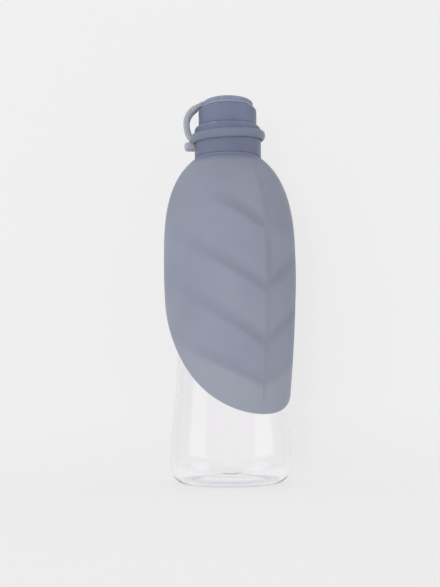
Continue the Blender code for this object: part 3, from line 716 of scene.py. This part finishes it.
def make_strap(material):
    """Strap, thin and flared at its root and thin at its end, with a tail that runs into the eye."""
    share = np.linspace(0.0, 1.0, STRAP_ROWS)
    tail_height = TAIL_BASE + TAIL_RISE * smooth_step(np.linspace(TAIL_START, 1.0, TAIL_ROWS))
    tail = columns(np.linspace(*TAIL_RADII, TAIL_ROWS), tail_height)
    line = np.concatenate([strap_line(share), tail])
    thickness = ROOT_THICKNESS + (STRAP_THICKNESS - ROOT_THICKNESS) * eased(share, 0.0, ROOT_SHARE)
    thickness = thickness - (STRAP_THICKNESS - END_THICKNESS) * eased(share, END_SHARE, 1.0)
    thickness = np.concatenate([thickness, np.linspace(END_THICKNESS, TAIL_THICKNESS, TAIL_ROWS)])
    width = STRAP_WIDTH + ROOT_FLARE * eased(np.arange(len(line)), ROOT_FLARE_ROWS, 0.0)
    strap = band_mesh("strap", line, width, thickness)
    dress(strap, material, None, "tether_strap")
    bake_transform(strap)


def make_eye(material):
    """Eye round the button's shank, and the lug that joins it to the strap's tail."""
    line = columns(np.linspace(*LUG_RADII, LUG_ROWS), LUG_HEIGHT)
    lug = band_mesh("eye_lug", line, STRAP_WIDTH - LUG_INSET, LUG_THICKNESS)
    dress(lug, material, "eye")
    eye = washer("tether_eye_disc", EYE_BORE, EYE_RADIUS, EYE_BASE, EYE_THICKNESS, EYE_EDGE)
    dress(eye, material, "eye", "tether_eye")


# Leaf

def by_side(angle, sizes):
    """The first of two sizes on the leaf's wide side, the second on its narrow side."""
    return np.where(angle > 0.0, sizes[1], sizes[0])


def leaf_drop(height):
    """Share of the way from the widest place down to the tip."""
    return np.clip((LEAF_WIDEST - height) / (LEAF_WIDEST - LEAF_TIP), 0.0, 1.0)


def leaf_radius(height):
    """Round section by height: crown R sqrt(1 - u^p) above the widest place, taper by drop^q below."""
    span = LEAF_TOP - LEAF_NECK_EASE - LEAF_WIDEST
    crown = span / (1.0 - (COLLAR_RADIUS / LEAF_RADIUS) ** 2) ** (1.0 / CROWN_POWER)
    rise = np.clip((height - LEAF_WIDEST) / crown, 0.0, 1.0)
    upper = np.maximum(LEAF_RADIUS * np.sqrt(1.0 - rise ** CROWN_POWER), COLLAR_RADIUS)
    lower = LEAF_RADIUS - (LEAF_RADIUS - LEAF_TIP_RADIUS) * leaf_drop(height) ** TAPER_POWER
    return np.where(height > LEAF_WIDEST, upper, lower)


def leaf_form(angle, height):
    """Section with the lean toward the tip, and the keel where the halves meet at the midrib.

    The keel sinks both halves by depth * 27/4 s (1 - s)^2, s being the share of its spread.
    """
    lean = LEAF_LEAN * smooth_step((LEAF_NECK_BASE - height) / (LEAF_TOP - LEAF_WIDEST))
    lean = lean + LEAF_TIP_LEAN * smooth_step(leaf_drop(height))
    radius = leaf_radius(height) + lean * np.cos(angle)
    strength = smooth_step((LEAF_NECK_BASE - height) / KEEL_FADE) * eased(height, LEAF_TIP, LEAF_WIDEST)
    share = np.clip(np.abs(angle) / by_side(angle, KEEL_SPREADS), 0.0, 1.0)
    return radius - by_side(angle, KEEL_DEPTHS) * strength * KEEL_SCALE * share * (1.0 - share) ** 2


def margin_height(angle):
    """Height of the edge: tip + rise (s (1 - w) + s^2 w), with s = (1 - cos(angle - aside)) / 2."""
    aside = MARGIN_TURN * ((1.0 + np.cos(angle)) / 2.0) ** 3
    share = (1.0 - np.cos(angle - aside)) / 2.0
    share = share * (1.0 - MARGIN_SWEEP) + share * share * MARGIN_SWEEP
    return LEAF_TIP + (LEAF_BACK - LEAF_TIP) * share


def rib_sway(angle, height):
    """Small angle by which the midrib bows toward the narrow side, as a half sine over the height.

    It dies out with the distance from the midrib, so the margin and the outline stay.
    """
    share = np.clip((height - LEAF_TIP) / (LEAF_NECK_BASE - LEAF_TIP), 0.0, 1.0)
    return RIB_SWAY * np.sin(math.pi * share) * (1.0 - smooth_step(np.abs(angle) / RIB_SWAY_REACH))


def vein_height(index, angle):
    """A side vein climbs away from the midrib and levels off as a tanh."""
    limit = VEIN_SETTLE * (LEAF_NECK_BASE - VEIN_HEIGHTS[index])
    return VEIN_HEIGHTS[index] + limit * np.tanh(VEIN_CLIMBS[index] * np.abs(angle) / limit)


def vein_fade(index, angle, narrow_reach=1.0):
    """Share of a vein that is left at an angle; on the narrow side it may end sooner."""
    reach = VEIN_LENGTHS[index] * by_side(angle, (1.0, narrow_reach))
    side = by_side(angle, (1.0, VEIN_NARROW_SIDE[index]))
    return side * eased(np.abs(angle) * LEAF_RADIUS, reach, VEIN_FULL_SHARE * reach)


def above_vein(index, angle, height):
    """Distance above a side vein, square to it."""
    return (height - vein_height(index, angle)) * VEIN_SLANT


def leaf_relief(angle, height):
    """Depth of midrib and veins.

    Each vein is a crease: the panel above slopes in over a wide stretch, and the panel
    below starts again with a short step. Both fade with the distance from the midrib.
    """
    run = np.abs(angle) * LEAF_RADIUS
    rib = 1.0 - smooth_step(run / by_side(angle, RIB_WIDTHS))
    head = smooth_step((LEAF_NECK_BASE - height) / RIB_FADE)
    foot = smooth_step((height - LEAF_TIP - RIB_FOOT) / RIB_FADE)
    relief = rib * head * foot * RIB_DEPTH
    for index, depth in enumerate(VEIN_DEPTHS):
        above = above_vein(index, angle, height)
        slope = 1.0 - smooth_step(np.where(above > 0.0, above / VEIN_ABOVE, -above / VEIN_BELOW))
        relief = np.maximum(relief, slope * vein_fade(index, angle, VEIN_NARROW_REACH) * depth)
    return relief


def leaf_shade(angle, height):
    """Soft shade of the creases, the midrib's flank and the narrow side's upper facet, 0 to 1."""
    run = np.abs(angle) * LEAF_RADIUS
    facet = eased(height, *FACET_FOOT) * eased(height, *FACET_HEAD) * FACET_SHADE
    facet = np.maximum(facet, RIB_SIDE_SHADE * eased(run, *RIB_SIDE_REACH))
    facet = facet * eased(angle, *FACET_START) * eased(angle, *FACET_END)
    rib = eased(np.abs(angle * LEAF_RADIUS - RIB_SHADE_PLACE), RIB_SHADE_REACH, 0.0)
    rib = rib * eased(height, *RIB_SHADE_HEAD) * (1.0 - RIB_SHADE_LOSS * smooth_step(leaf_drop(height)))
    shade = np.maximum(facet, rib * RIB_SHADE)
    for index, strength in enumerate(VEIN_SHADES):
        away = np.abs(above_vein(index, angle, height) - CREASE_RISE)
        band = eased(away, CREASE_REACH, 0.0)
        shade = np.maximum(shade, band * vein_fade(index, angle) * strength)
    return shade


def level_rows(values, count):
    """Rows of one value each."""
    return np.tile(np.array(values)[:, None], (1, count))


def make_leaf(material):
    """Leaf bowl: outer face, round rim and inner face, as one closed skin.

    A column at angle a has points (r sin a, -r cos a, z), with z from the neck to the margin
    and back. Columns crowd toward the midrib and bow with it, and the neck's top edge is broken.
    """
    angle = np.linspace(-math.pi, math.pi, LEAF_STEPS, endpoint=False)
    angle = angle - LEAF_CROWDING * np.sin(angle) * (1.0 + np.cos(angle)) / 2.0
    edge = margin_height(angle)[None, :]
    start = LEAF_TOP - LEAF_NECK_EASE
    low = edge + LEAF_RIM * LEAF_RIM_REACH
    neck = level_rows([LEAF_TOP, LEAF_TOP - LEAF_NECK_EDGE, start], LEAF_STEPS)
    down = np.linspace(0.0, 1.0, LEAF_ROWS)[1:, None]
    outside = np.concatenate([neck, start + (low - start) * down])
    radius = leaf_form(angle, outside) - leaf_relief(angle, outside)
    radius[0] -= LEAF_NECK_EDGE

    half = LEAF_RIM / 2
    turn = np.linspace(0.0, math.pi, LEAF_RIM_ROWS)[:, None]
    rim_height = edge + half * (1.0 - np.sin(turn))
    rim_radius = leaf_form(angle, edge + half) - LEAF_WALL / 2 + half * np.cos(turn)

    up = np.linspace(0.0, 1.0, LEAF_INNER_ROWS)[:, None]
    inner_height = low + (start - LEAF_WALL - low) * up
    over = leaf_form(angle, inner_height + SLOPE_STEP)
    under = leaf_form(angle, inner_height - SLOPE_STEP)
    slope = (over - under) / (2 * SLOPE_STEP)
    inner_radius = leaf_form(angle, inner_height) - LEAF_WALL * np.sqrt(1.0 + slope * slope)
    inner_radius = np.maximum(inner_radius, LEAF_NECK_BORE)

    bore = level_rows([LEAF_NECK_BASE, LEAF_TOP - LEAF_NECK_EDGE, LEAF_TOP], LEAF_STEPS)
    bore_radius = [LEAF_NECK_BORE, LEAF_NECK_BORE, LEAF_NECK_BORE + LEAF_NECK_EDGE]
    heights = np.concatenate([outside, rim_height, inner_height, bore])
    radii = np.concatenate([radius, rim_radius, inner_radius, level_rows(bore_radius, LEAF_STEPS)])
    around = angle + rib_sway(angle, heights)
    points = columns(radii * np.sin(around), -radii * np.cos(around), heights)
    leaf = grid_mesh("leaf", points, along=True)
    add_shades(leaf)
    dress(leaf, material, "leaf", "leaf_bowl")


def add_shades(leaf):
    """Store two masks on the leaf: crease, the painted shade of its outer face, and tip, 1 below the
    lowest vein, for painted light.
    """
    place = np.empty(len(leaf.data.vertices) * 3)
    leaf.data.vertices.foreach_get("co", place)
    x, y, height = place.reshape(-1, 3).T
    angle = np.arctan2(x, -y)
    angle = angle - rib_sway(angle, height)
    outside = np.hypot(x, y) > leaf_form(angle, height) - OUTSIDE_DEPTH
    # tip: mask for the painted light below the lowest vein
    tip = smooth_step((vein_height(-1, angle) - height) / TIP_FADE)
    for name, values in (("crease", leaf_shade(angle, height) * outside), ("tip", tip)):
        leaf.data.attributes.new(name, "FLOAT", "POINT").data.foreach_set("value", values)


# Shader nodes

def linear(tone):
    """Linear colour of an 8-bit display tone."""
    channels = np.array(tone) / 255.0
    channels = np.where(channels < 0.04045, channels / 12.92, ((channels + 0.055) / 1.055) ** 2.4)
    return (*channels.tolist(), 1.0)


def add(tree, kind, inputs=None, **properties):
    """A node of a kind with its properties; each input is a value, or a socket to link."""
    node = tree.nodes.new(kind)
    for key, value in properties.items():
        setattr(node, key, value)
    for key, value in (inputs or {}).items():
        if isinstance(value, bpy.types.NodeSocket):
            tree.links.new(value, node.inputs[key])
        else:
            node.inputs[key].default_value = value
    return node


def position(tree):
    """Place on the piece, in metres from the middle of the bottle's foot."""
    return add(tree, "ShaderNodeTexCoord").outputs["Object"]


def reckon(tree, operation, first, second=0.0):
    """Result of one arithmetic step on values or sockets."""
    return add(tree, "ShaderNodeMath", {0: first, 1: second}, operation=operation).outputs[0]


def times(tree, first, second):
    """Product of two values or sockets."""
    return reckon(tree, "MULTIPLY", first, second)


def ranged(tree, value, low, high, to_low=0.0, to_high=1.0, kind="LINEAR"):
    """A value taken from one range to another and held at its ends; SMOOTHSTEP eases it."""
    inputs = {"Value": value, "From Min": low, "From Max": high, "To Min": to_low, "To Max": to_high}
    return add(tree, "ShaderNodeMapRange", inputs, interpolation_type=kind).outputs["Result"]


def vector_length(tree, vector):
    """Length of a vector."""
    return add(tree, "ShaderNodeVectorMath", {0: vector}, operation="LENGTH").outputs["Value"]


def axis_distance(tree):
    """Distance from the bottle's axis."""
    inputs = {0: position(tree), 1: (1.0, 1.0, 0.0)}
    flat = add(tree, "ShaderNodeVectorMath", inputs, operation="MULTIPLY")
    return vector_length(tree, flat.outputs["Vector"])


def height_above_foot(tree):
    """Height above the foot."""
    return add(tree, "ShaderNodeSeparateXYZ", {"Vector": position(tree)}).outputs["Z"]


def noise(tree, scale, detail, roughness=0.5):
    """Noise over the piece, from 0 to 1."""
    inputs = {"Vector": position(tree), "Scale": scale, "Detail": detail, "Roughness": roughness}
    return add(tree, "ShaderNodeTexNoise", inputs).outputs["Fac"]


def mask(tree, name):
    """A mask that is stored on the mesh."""
    return add(tree, "ShaderNodeAttribute", attribute_name=name).outputs["Fac"]


def mix_colour(tree, share, low, high):
    """Colour that goes from low to high with a share; each may be a colour or a socket."""
    node = add(tree, "ShaderNodeMix", {"Factor": share, "A": low, "B": high}, data_type="RGBA")
    return node.outputs["Result"]


# Shared effects

def new_group(name, inputs, outputs):
    """An empty node group with float inputs and outputs, and the sockets at its two ends."""
    group = bpy.data.node_groups.new(name, "ShaderNodeTree")
    for label, value in inputs.items():
        socket = group.interface.new_socket(label, in_out="INPUT", socket_type="NodeSocketFloat")
        socket.default_value = value
    for label in outputs:
        group.interface.new_socket(label, in_out="OUTPUT", socket_type="NodeSocketFloat")
    return group, add(group, "NodeGroupInput").outputs, add(group, "NodeGroupOutput").inputs


def use_group(tree, name, values):
    """The outputs of a node group placed in a material with its own values."""
    return add(tree, "ShaderNodeGroup", values, node_tree=bpy.data.node_groups[name]).outputs


def grain_group():
    """Fine moulded grain: height from one noise, and a broad mottle from 0 to 1 from another."""
    group, given, result = new_group("moulded_grain", SILICONE_GRAIN, ["Height", "Mottle"])
    group.links.new(noise(group, given["Scale"], detail=3.0, roughness=0.6), result["Height"])
    group.links.new(noise(group, given["Mottle Scale"], detail=4.0), result["Mottle"])


def worn_and_lit_edge_group():
    """Worn edge of a turned piece, also a painted highlight: 1 on the circle (Radius, Level), fading
    over Reach.

    Noise breaks it up.
    """
    group, given, result = new_group("worn_and_lit_edge", CAP_CORNER, ["Mask"])
    out = reckon(group, "SUBTRACT", axis_distance(group), given["Radius"])
    up = reckon(group, "SUBTRACT", height_above_foot(group), given["Level"])
    both = add(group, "ShaderNodeCombineXYZ", {"X": out, "Y": up}).outputs["Vector"]
    share = reckon(group, "DIVIDE", vector_length(group, both), given["Reach"])
    near = ranged(group, share, 1.0, 0.0, kind="SMOOTHSTEP")
    breaks = ranged(group, noise(group, BREAK_SCALE, detail=3.0), *BREAK_RANGE)
    group.links.new(times(group, near, breaks), result["Mask"])


def lint_group():
    """Fine lint and dust: small specks from a cell pattern, gathered in patches by a broad noise."""
    group, given, result = new_group("lint", LINT, ["Mask"])
    cells = add(group, "ShaderNodeTexVoronoi", {"Vector": position(group), "Scale": given["Scale"]})
    speck = ranged(group, cells.outputs["Distance"], *SPECK_RANGE)
    patch = ranged(group, noise(group, given["Patch Scale"], detail=2.0), *PATCH_RANGE)
    group.links.new(times(group, speck, patch), result["Mask"])


# Materials

def new_material(name, finish, grain, roughness):
    """A material with its finish, and a roughness that follows the grain's mottle."""
    material = bpy.data.materials.new(name)
    material.use_nodes = True
    tree = material.node_tree
    shader = tree.nodes["Principled BSDF"]
    for key, value in finish.items():
        shader.inputs[key].default_value = value
    detail = use_group(tree, "moulded_grain", grain)
    rough = ranged(tree, detail["Mottle"], *ROUGHNESS_RANGE, *roughness)
    tree.links.new(rough, shader.inputs["Roughness"])
    return material, detail


def coat(material, colour, height, bump):
    """Give a material its colour, and bump its surface by a height, to a strength and depth."""
    tree = material.node_tree
    shader = tree.nodes["Principled BSDF"]
    inputs = {"Height": height, "Strength": bump[0], "Distance": bump[1]}
    normal = add(tree, "ShaderNodeBump", inputs).outputs["Normal"]
    tree.links.new(colour, shader.inputs["Base Color"])
    tree.links.new(normal, shader.inputs["Normal"])
    return material


def two_tones(tree, share, tones):
    """Colour between a moulding's light and dark tones."""
    return mix_colour(tree, share, *map(linear, tones))


def leaf_tint(tree, colour):
    """The leaf's painted shade and light: painted shade in its creases, on the midrib's flank and on
    the narrow side's upper facet, painted light on a paler panel at its tip, and painted shade at its
    neck.
    """
    # Painted shade from the crease mask
    crease = times(tree, mask(tree, "crease"), CREASE_SHADE_SHARE)
    colour = mix_colour(tree, crease, colour, linear(CREASE_SHADE_TONE))
    # Painted light on the panel below the lowest vein
    colour = mix_colour(tree, mask(tree, "tip"), colour, linear(TIP_LIGHT_TONE))
    # Painted shade at the neck, under the collar
    neck = ranged(tree, height_above_foot(tree), *LEAF_NECK_SHADE_RANGE)
    return mix_colour(tree, neck, colour, linear(LEAF_NECK_SHADE_TONE))


def silicone(name, tones, finish=SILICONE_FINISH, tint=None):
    """Matt silicone: mottled colour with lint on it, and the tint of its piece."""
    material, detail = new_material(name, finish, SILICONE_GRAIN, SILICONE_ROUGHNESS)
    tree = material.node_tree
    colour = two_tones(tree, ranged(tree, detail["Mottle"], *MOTTLE_RANGE), tones)
    if tint:
        colour = tint(tree, colour)
    lint = times(tree, use_group(tree, "lint", LINT)["Mask"], LINT_SHARE)
    colour = mix_colour(tree, lint, colour, linear(LINT_TONE))
    return coat(material, colour, detail["Height"], SILICONE_BUMP)


def slate_plastic(name, tones, corner):
    """Satin moulded plastic in two near tones, with one corner lightened by wear and by a painted
    highlight.
    """
    material, detail = new_material(name, PLASTIC_FINISH, PLASTIC_GRAIN, PLASTIC_ROUGHNESS)
    tree = material.node_tree
    colour = two_tones(tree, ranged(tree, detail["Mottle"], *MOTTLE_RANGE), tones)
    # Corner lightened as wear and painted highlight
    worn_and_lit = times(tree, use_group(tree, "worn_and_lit_edge", corner)["Mask"], WORN_AND_LIT_EDGE_SHARE)
    colour = mix_colour(tree, worn_and_lit, colour, linear(WORN_AND_LIT_EDGE_TONE))
    return coat(material, colour, detail["Height"], PLASTIC_BUMP)


def clear_plastic(name):
    """Clear blown plastic: faintly wavy, with slight haze, and a darker foot: painted shade for the
    dark line where it stands, partly the tint of its thicker plastic.
    """
    material, detail = new_material(name, CLEAR_FINISH, CLEAR_GRAIN, CLEAR_ROUGHNESS)
    tree = material.node_tree
    colour = two_tones(tree, detail["Mottle"], CLEAR_TONES)
    # Foot tinted darker: painted shade, partly the thicker plastic's tint
    within = ranged(tree, axis_distance(tree), *FOOT_SHADE_RADII)
    low = ranged(tree, height_above_foot(tree), *FOOT_SHADE_HEIGHTS)
    colour = mix_colour(tree, times(tree, within, low), colour, linear(FOOT_SHADE_TONE))
    return coat(material, colour, detail["Mottle"], CLEAR_BUMP)


# Stage

def make_backdrop():
    """Pale sheet: floor that curves up into a wall behind the object, carried along a line."""
    coarse, fine = BACKDROP_STEPS
    turn = np.linspace(0.0, math.pi / 2, fine)
    start = WALL_DISTANCE - BACKDROP_BEND
    line = np.concatenate([
        columns(np.linspace(-BACKDROP_REACH, start, coarse), 0.0),
        columns(start + BACKDROP_BEND * np.sin(turn), BACKDROP_BEND * (1.0 - np.cos(turn)))[1:],
        columns(WALL_DISTANCE, np.linspace(BACKDROP_BEND, WALL_HEIGHT, coarse))[1:],
    ])
    side = np.linspace(-BACKDROP_REACH, BACKDROP_REACH, fine)
    points = columns(side[None, :], line[:, :1], line[:, 1:])
    backdrop = grid_mesh("backdrop", swing(points, CAMERA_AZIMUTH), across=False)
    if backdrop.data.polygons[0].normal.z < 0.0:
        backdrop.data.flip_normals()
    return backdrop


def place_object(name, data, place, azimuth):
    """An object at a place that is given as seen from an azimuth."""
    placed = bpy.data.objects.new(name, data)
    bpy.context.scene.collection.objects.link(placed)
    placed.location = swing(np.array(place), azimuth).tolist()
    return placed


def make_camera():
    """Camera at the photograph's place: a pinhole with its focal length in pixels.

    The sensor's width spans the picture's longer side, which is its height.
    """
    data = bpy.data.cameras.new("camera")
    data.sensor_width = SENSOR_WIDTH
    data.lens = FOCAL_PIXELS * SENSOR_WIDTH / PHOTO_HEIGHT
    data.clip_start = NEAREST_VIEW
    place = (CAMERA_SHIFT, -CAMERA_DISTANCE, CAMERA_HEIGHT)
    camera = place_object("camera", data, place, CAMERA_AZIMUTH)
    turn = Matrix.Rotation(CAMERA_AZIMUTH, 3, "Z") @ Matrix.Rotation(math.pi / 2 + CAMERA_PITCH, 3, "X")
    camera.rotation_euler = (turn @ Matrix.Rotation(CAMERA_ROLL, 3, "Z")).to_euler()
    bpy.context.scene.camera = camera


def area_lamp(name, azimuth, height, distance, size, power):
    """Soft lamp at an azimuth round the camera's side of the object, aimed at its middle."""
    data = bpy.data.lights.new(name, "AREA")
    data.shape = "RECTANGLE"
    data.size, data.size_y = size
    data.energy = power
    lamp = place_object(name, data, (0.0, -distance, height), CAMERA_AZIMUTH + math.radians(azimuth))
    lamp.visible_glossy = False
    lamp.visible_transmission = False
    lamp.rotation_euler = (Vector(LAMP_AIM) - lamp.location).to_track_quat("-Z", "Y").to_euler()


def toward(tree, vector, azimuth):
    """Share of a vector that lies along the level direction at an azimuth from the camera's right."""
    angle = CAMERA_AZIMUTH + azimuth
    inputs = {0: vector, 1: (math.cos(angle), math.sin(angle), 0.0)}
    return add(tree, "ShaderNodeVectorMath", inputs, operation="DOT_PRODUCT").outputs["Value"]


def seen_by(tree):
    """Two masks: 1 for what the camera sees straight, and 1 for what gloss or glass sees."""
    path = add(tree, "ShaderNodeLightPath").outputs
    gloss = reckon(tree, "MAXIMUM", path["Is Glossy Ray"], path["Is Transmission Ray"])
    return path["Is Camera Ray"], gloss


def panel(tree, turn, start, end, light):
    """Soft upright panel of light between two angles from the camera's own side, in degrees."""
    outer, inner = PANEL_EDGE
    edges = [math.radians(edge) for edge in (start - outer, start + inner, end + outer, end - inner)]
    rise = ranged(tree, turn, *edges[:2], kind="SMOOTHSTEP")
    fall = ranged(tree, turn, *edges[2:], kind="SMOOTHSTEP")
    return times(tree, times(tree, rise, fall), light)


def make_world():
    """Pale room: the backdrop's colour for the camera, soft upright panels of light at both
    sides for gloss and glass, and even light for the rest."""
    world = bpy.data.worlds.new("pale_room")
    bpy.context.scene.world = world
    world.use_nodes = True
    tree = world.node_tree
    place = add(tree, "ShaderNodeTexCoord").outputs["Generated"]
    turn = reckon(tree, "ARCTAN2", toward(tree, place, 0.0), toward(tree, place, -math.pi / 2))
    left = panel(tree, times(tree, turn, -1.0), *LEFT_PANEL, PANEL_LIGHT[0])
    right = panel(tree, turn, *RIGHT_PANEL, PANEL_LIGHT[1])
    room = reckon(tree, "ADD", reckon(tree, "ADD", left, right), ROOM_LEVEL)
    camera, gloss = seen_by(tree)
    even = ranged(tree, camera, 0.0, 1.0, ROOM_AMBIENT, 1.0)
    strength = add(tree, "ShaderNodeMix", {"Factor": gloss, "A": even, "B": room}, data_type="FLOAT")
    background = tree.nodes["Background"]
    background.inputs["Color"].default_value = linear(PALE_TONE)
    tree.links.new(strength.outputs["Result"], background.inputs["Strength"])


def backdrop_material():
    """Pale paper that keeps part of the shadow. Gloss and glass see it darker away from the
    middle, as by dark cards at both sides, and its back lets everything through."""
    material = bpy.data.materials.new("backdrop_paper")
    material.use_nodes = True
    tree = material.node_tree
    tree.nodes.remove(tree.nodes["Principled BSDF"])
    gloss = seen_by(tree)[1]
    aside = reckon(tree, "ABSOLUTE", toward(tree, position(tree), 0.0))
    dark = times(tree, ranged(tree, aside, *CARD_EDGES, kind="SMOOTHSTEP"), CARD_DARK)
    level = reckon(tree, "SUBTRACT", PAPER_LIGHT, times(tree, dark, gloss))
    pale = linear(PALE_TONE)
    paper = add(tree, "ShaderNodeBsdfDiffuse", {"Color": pale}).outputs[0]
    shine = add(tree, "ShaderNodeEmission", {"Color": pale, "Strength": level}).outputs[0]
    share = ranged(tree, gloss, 0.0, 1.0, PAPER_GLOW, 1.0)
    front = add(tree, "ShaderNodeMixShader", {"Fac": share, 1: paper, 2: shine}).outputs[0]
    back = add(tree, "ShaderNodeBsdfTransparent").outputs[0]
    side = add(tree, "ShaderNodeNewGeometry").outputs["Backfacing"]
    both = add(tree, "ShaderNodeMixShader", {"Fac": side, 1: front, 2: back}).outputs[0]
    tree.links.new(both, tree.nodes["Material Output"].inputs["Surface"])
    return material


def main():
    """Camera, shared effects, pieces with their materials, stage and lamps."""
    make_camera()
    grain_group()
    worn_and_lit_edge_group()
    lint_group()
    make_bottle(clear_plastic("clear_blown"))
    # Collar's tones hold painted shade, and the dome's below hold painted light
    make_collar(slate_plastic("collar_slate", COLLAR_SHADED_TONES, COLLAR_CORNER))
    make_cap(slate_plastic("cap_slate", CAP_TONES, CAP_CORNER))
    make_button(slate_plastic("dome_slate", DOME_LIT_TONES, DOME_CORNER))
    milky = silicone("milky_silicone", WASHER_TONES)
    dress(washer("neck_gasket", **GASKET), milky, "gasket", "collar_gasket")
    dress(washer("cap_seal", **LINER), milky, "liner", "cap_liner")
    # Ring in darker tones, as painted shade
    make_ring(silicone("tether_band_silicone", BAND_SHADED_TONES, finish=BAND_FINISH))
    strap_silicone = silicone("tether_strap_silicone", STRAP_TONES, finish=STRAP_FINISH)
    make_tab(strap_silicone)
    make_strap(strap_silicone)
    # Eye in lighter tones, as painted light
    make_eye(silicone("tether_eye_silicone", EYE_LIT_TONES))
    make_leaf(silicone("leaf_silicone", LEAF_TONES, tint=leaf_tint))

    backdrop = make_backdrop()
    backdrop.data.materials.append(backdrop_material())
    area_lamp("key", **KEY_LAMP)
    area_lamp("near_camera", **CAMERA_LAMP)
    make_world()
    bpy.context.scene.view_settings.view_transform = "Standard"


main()
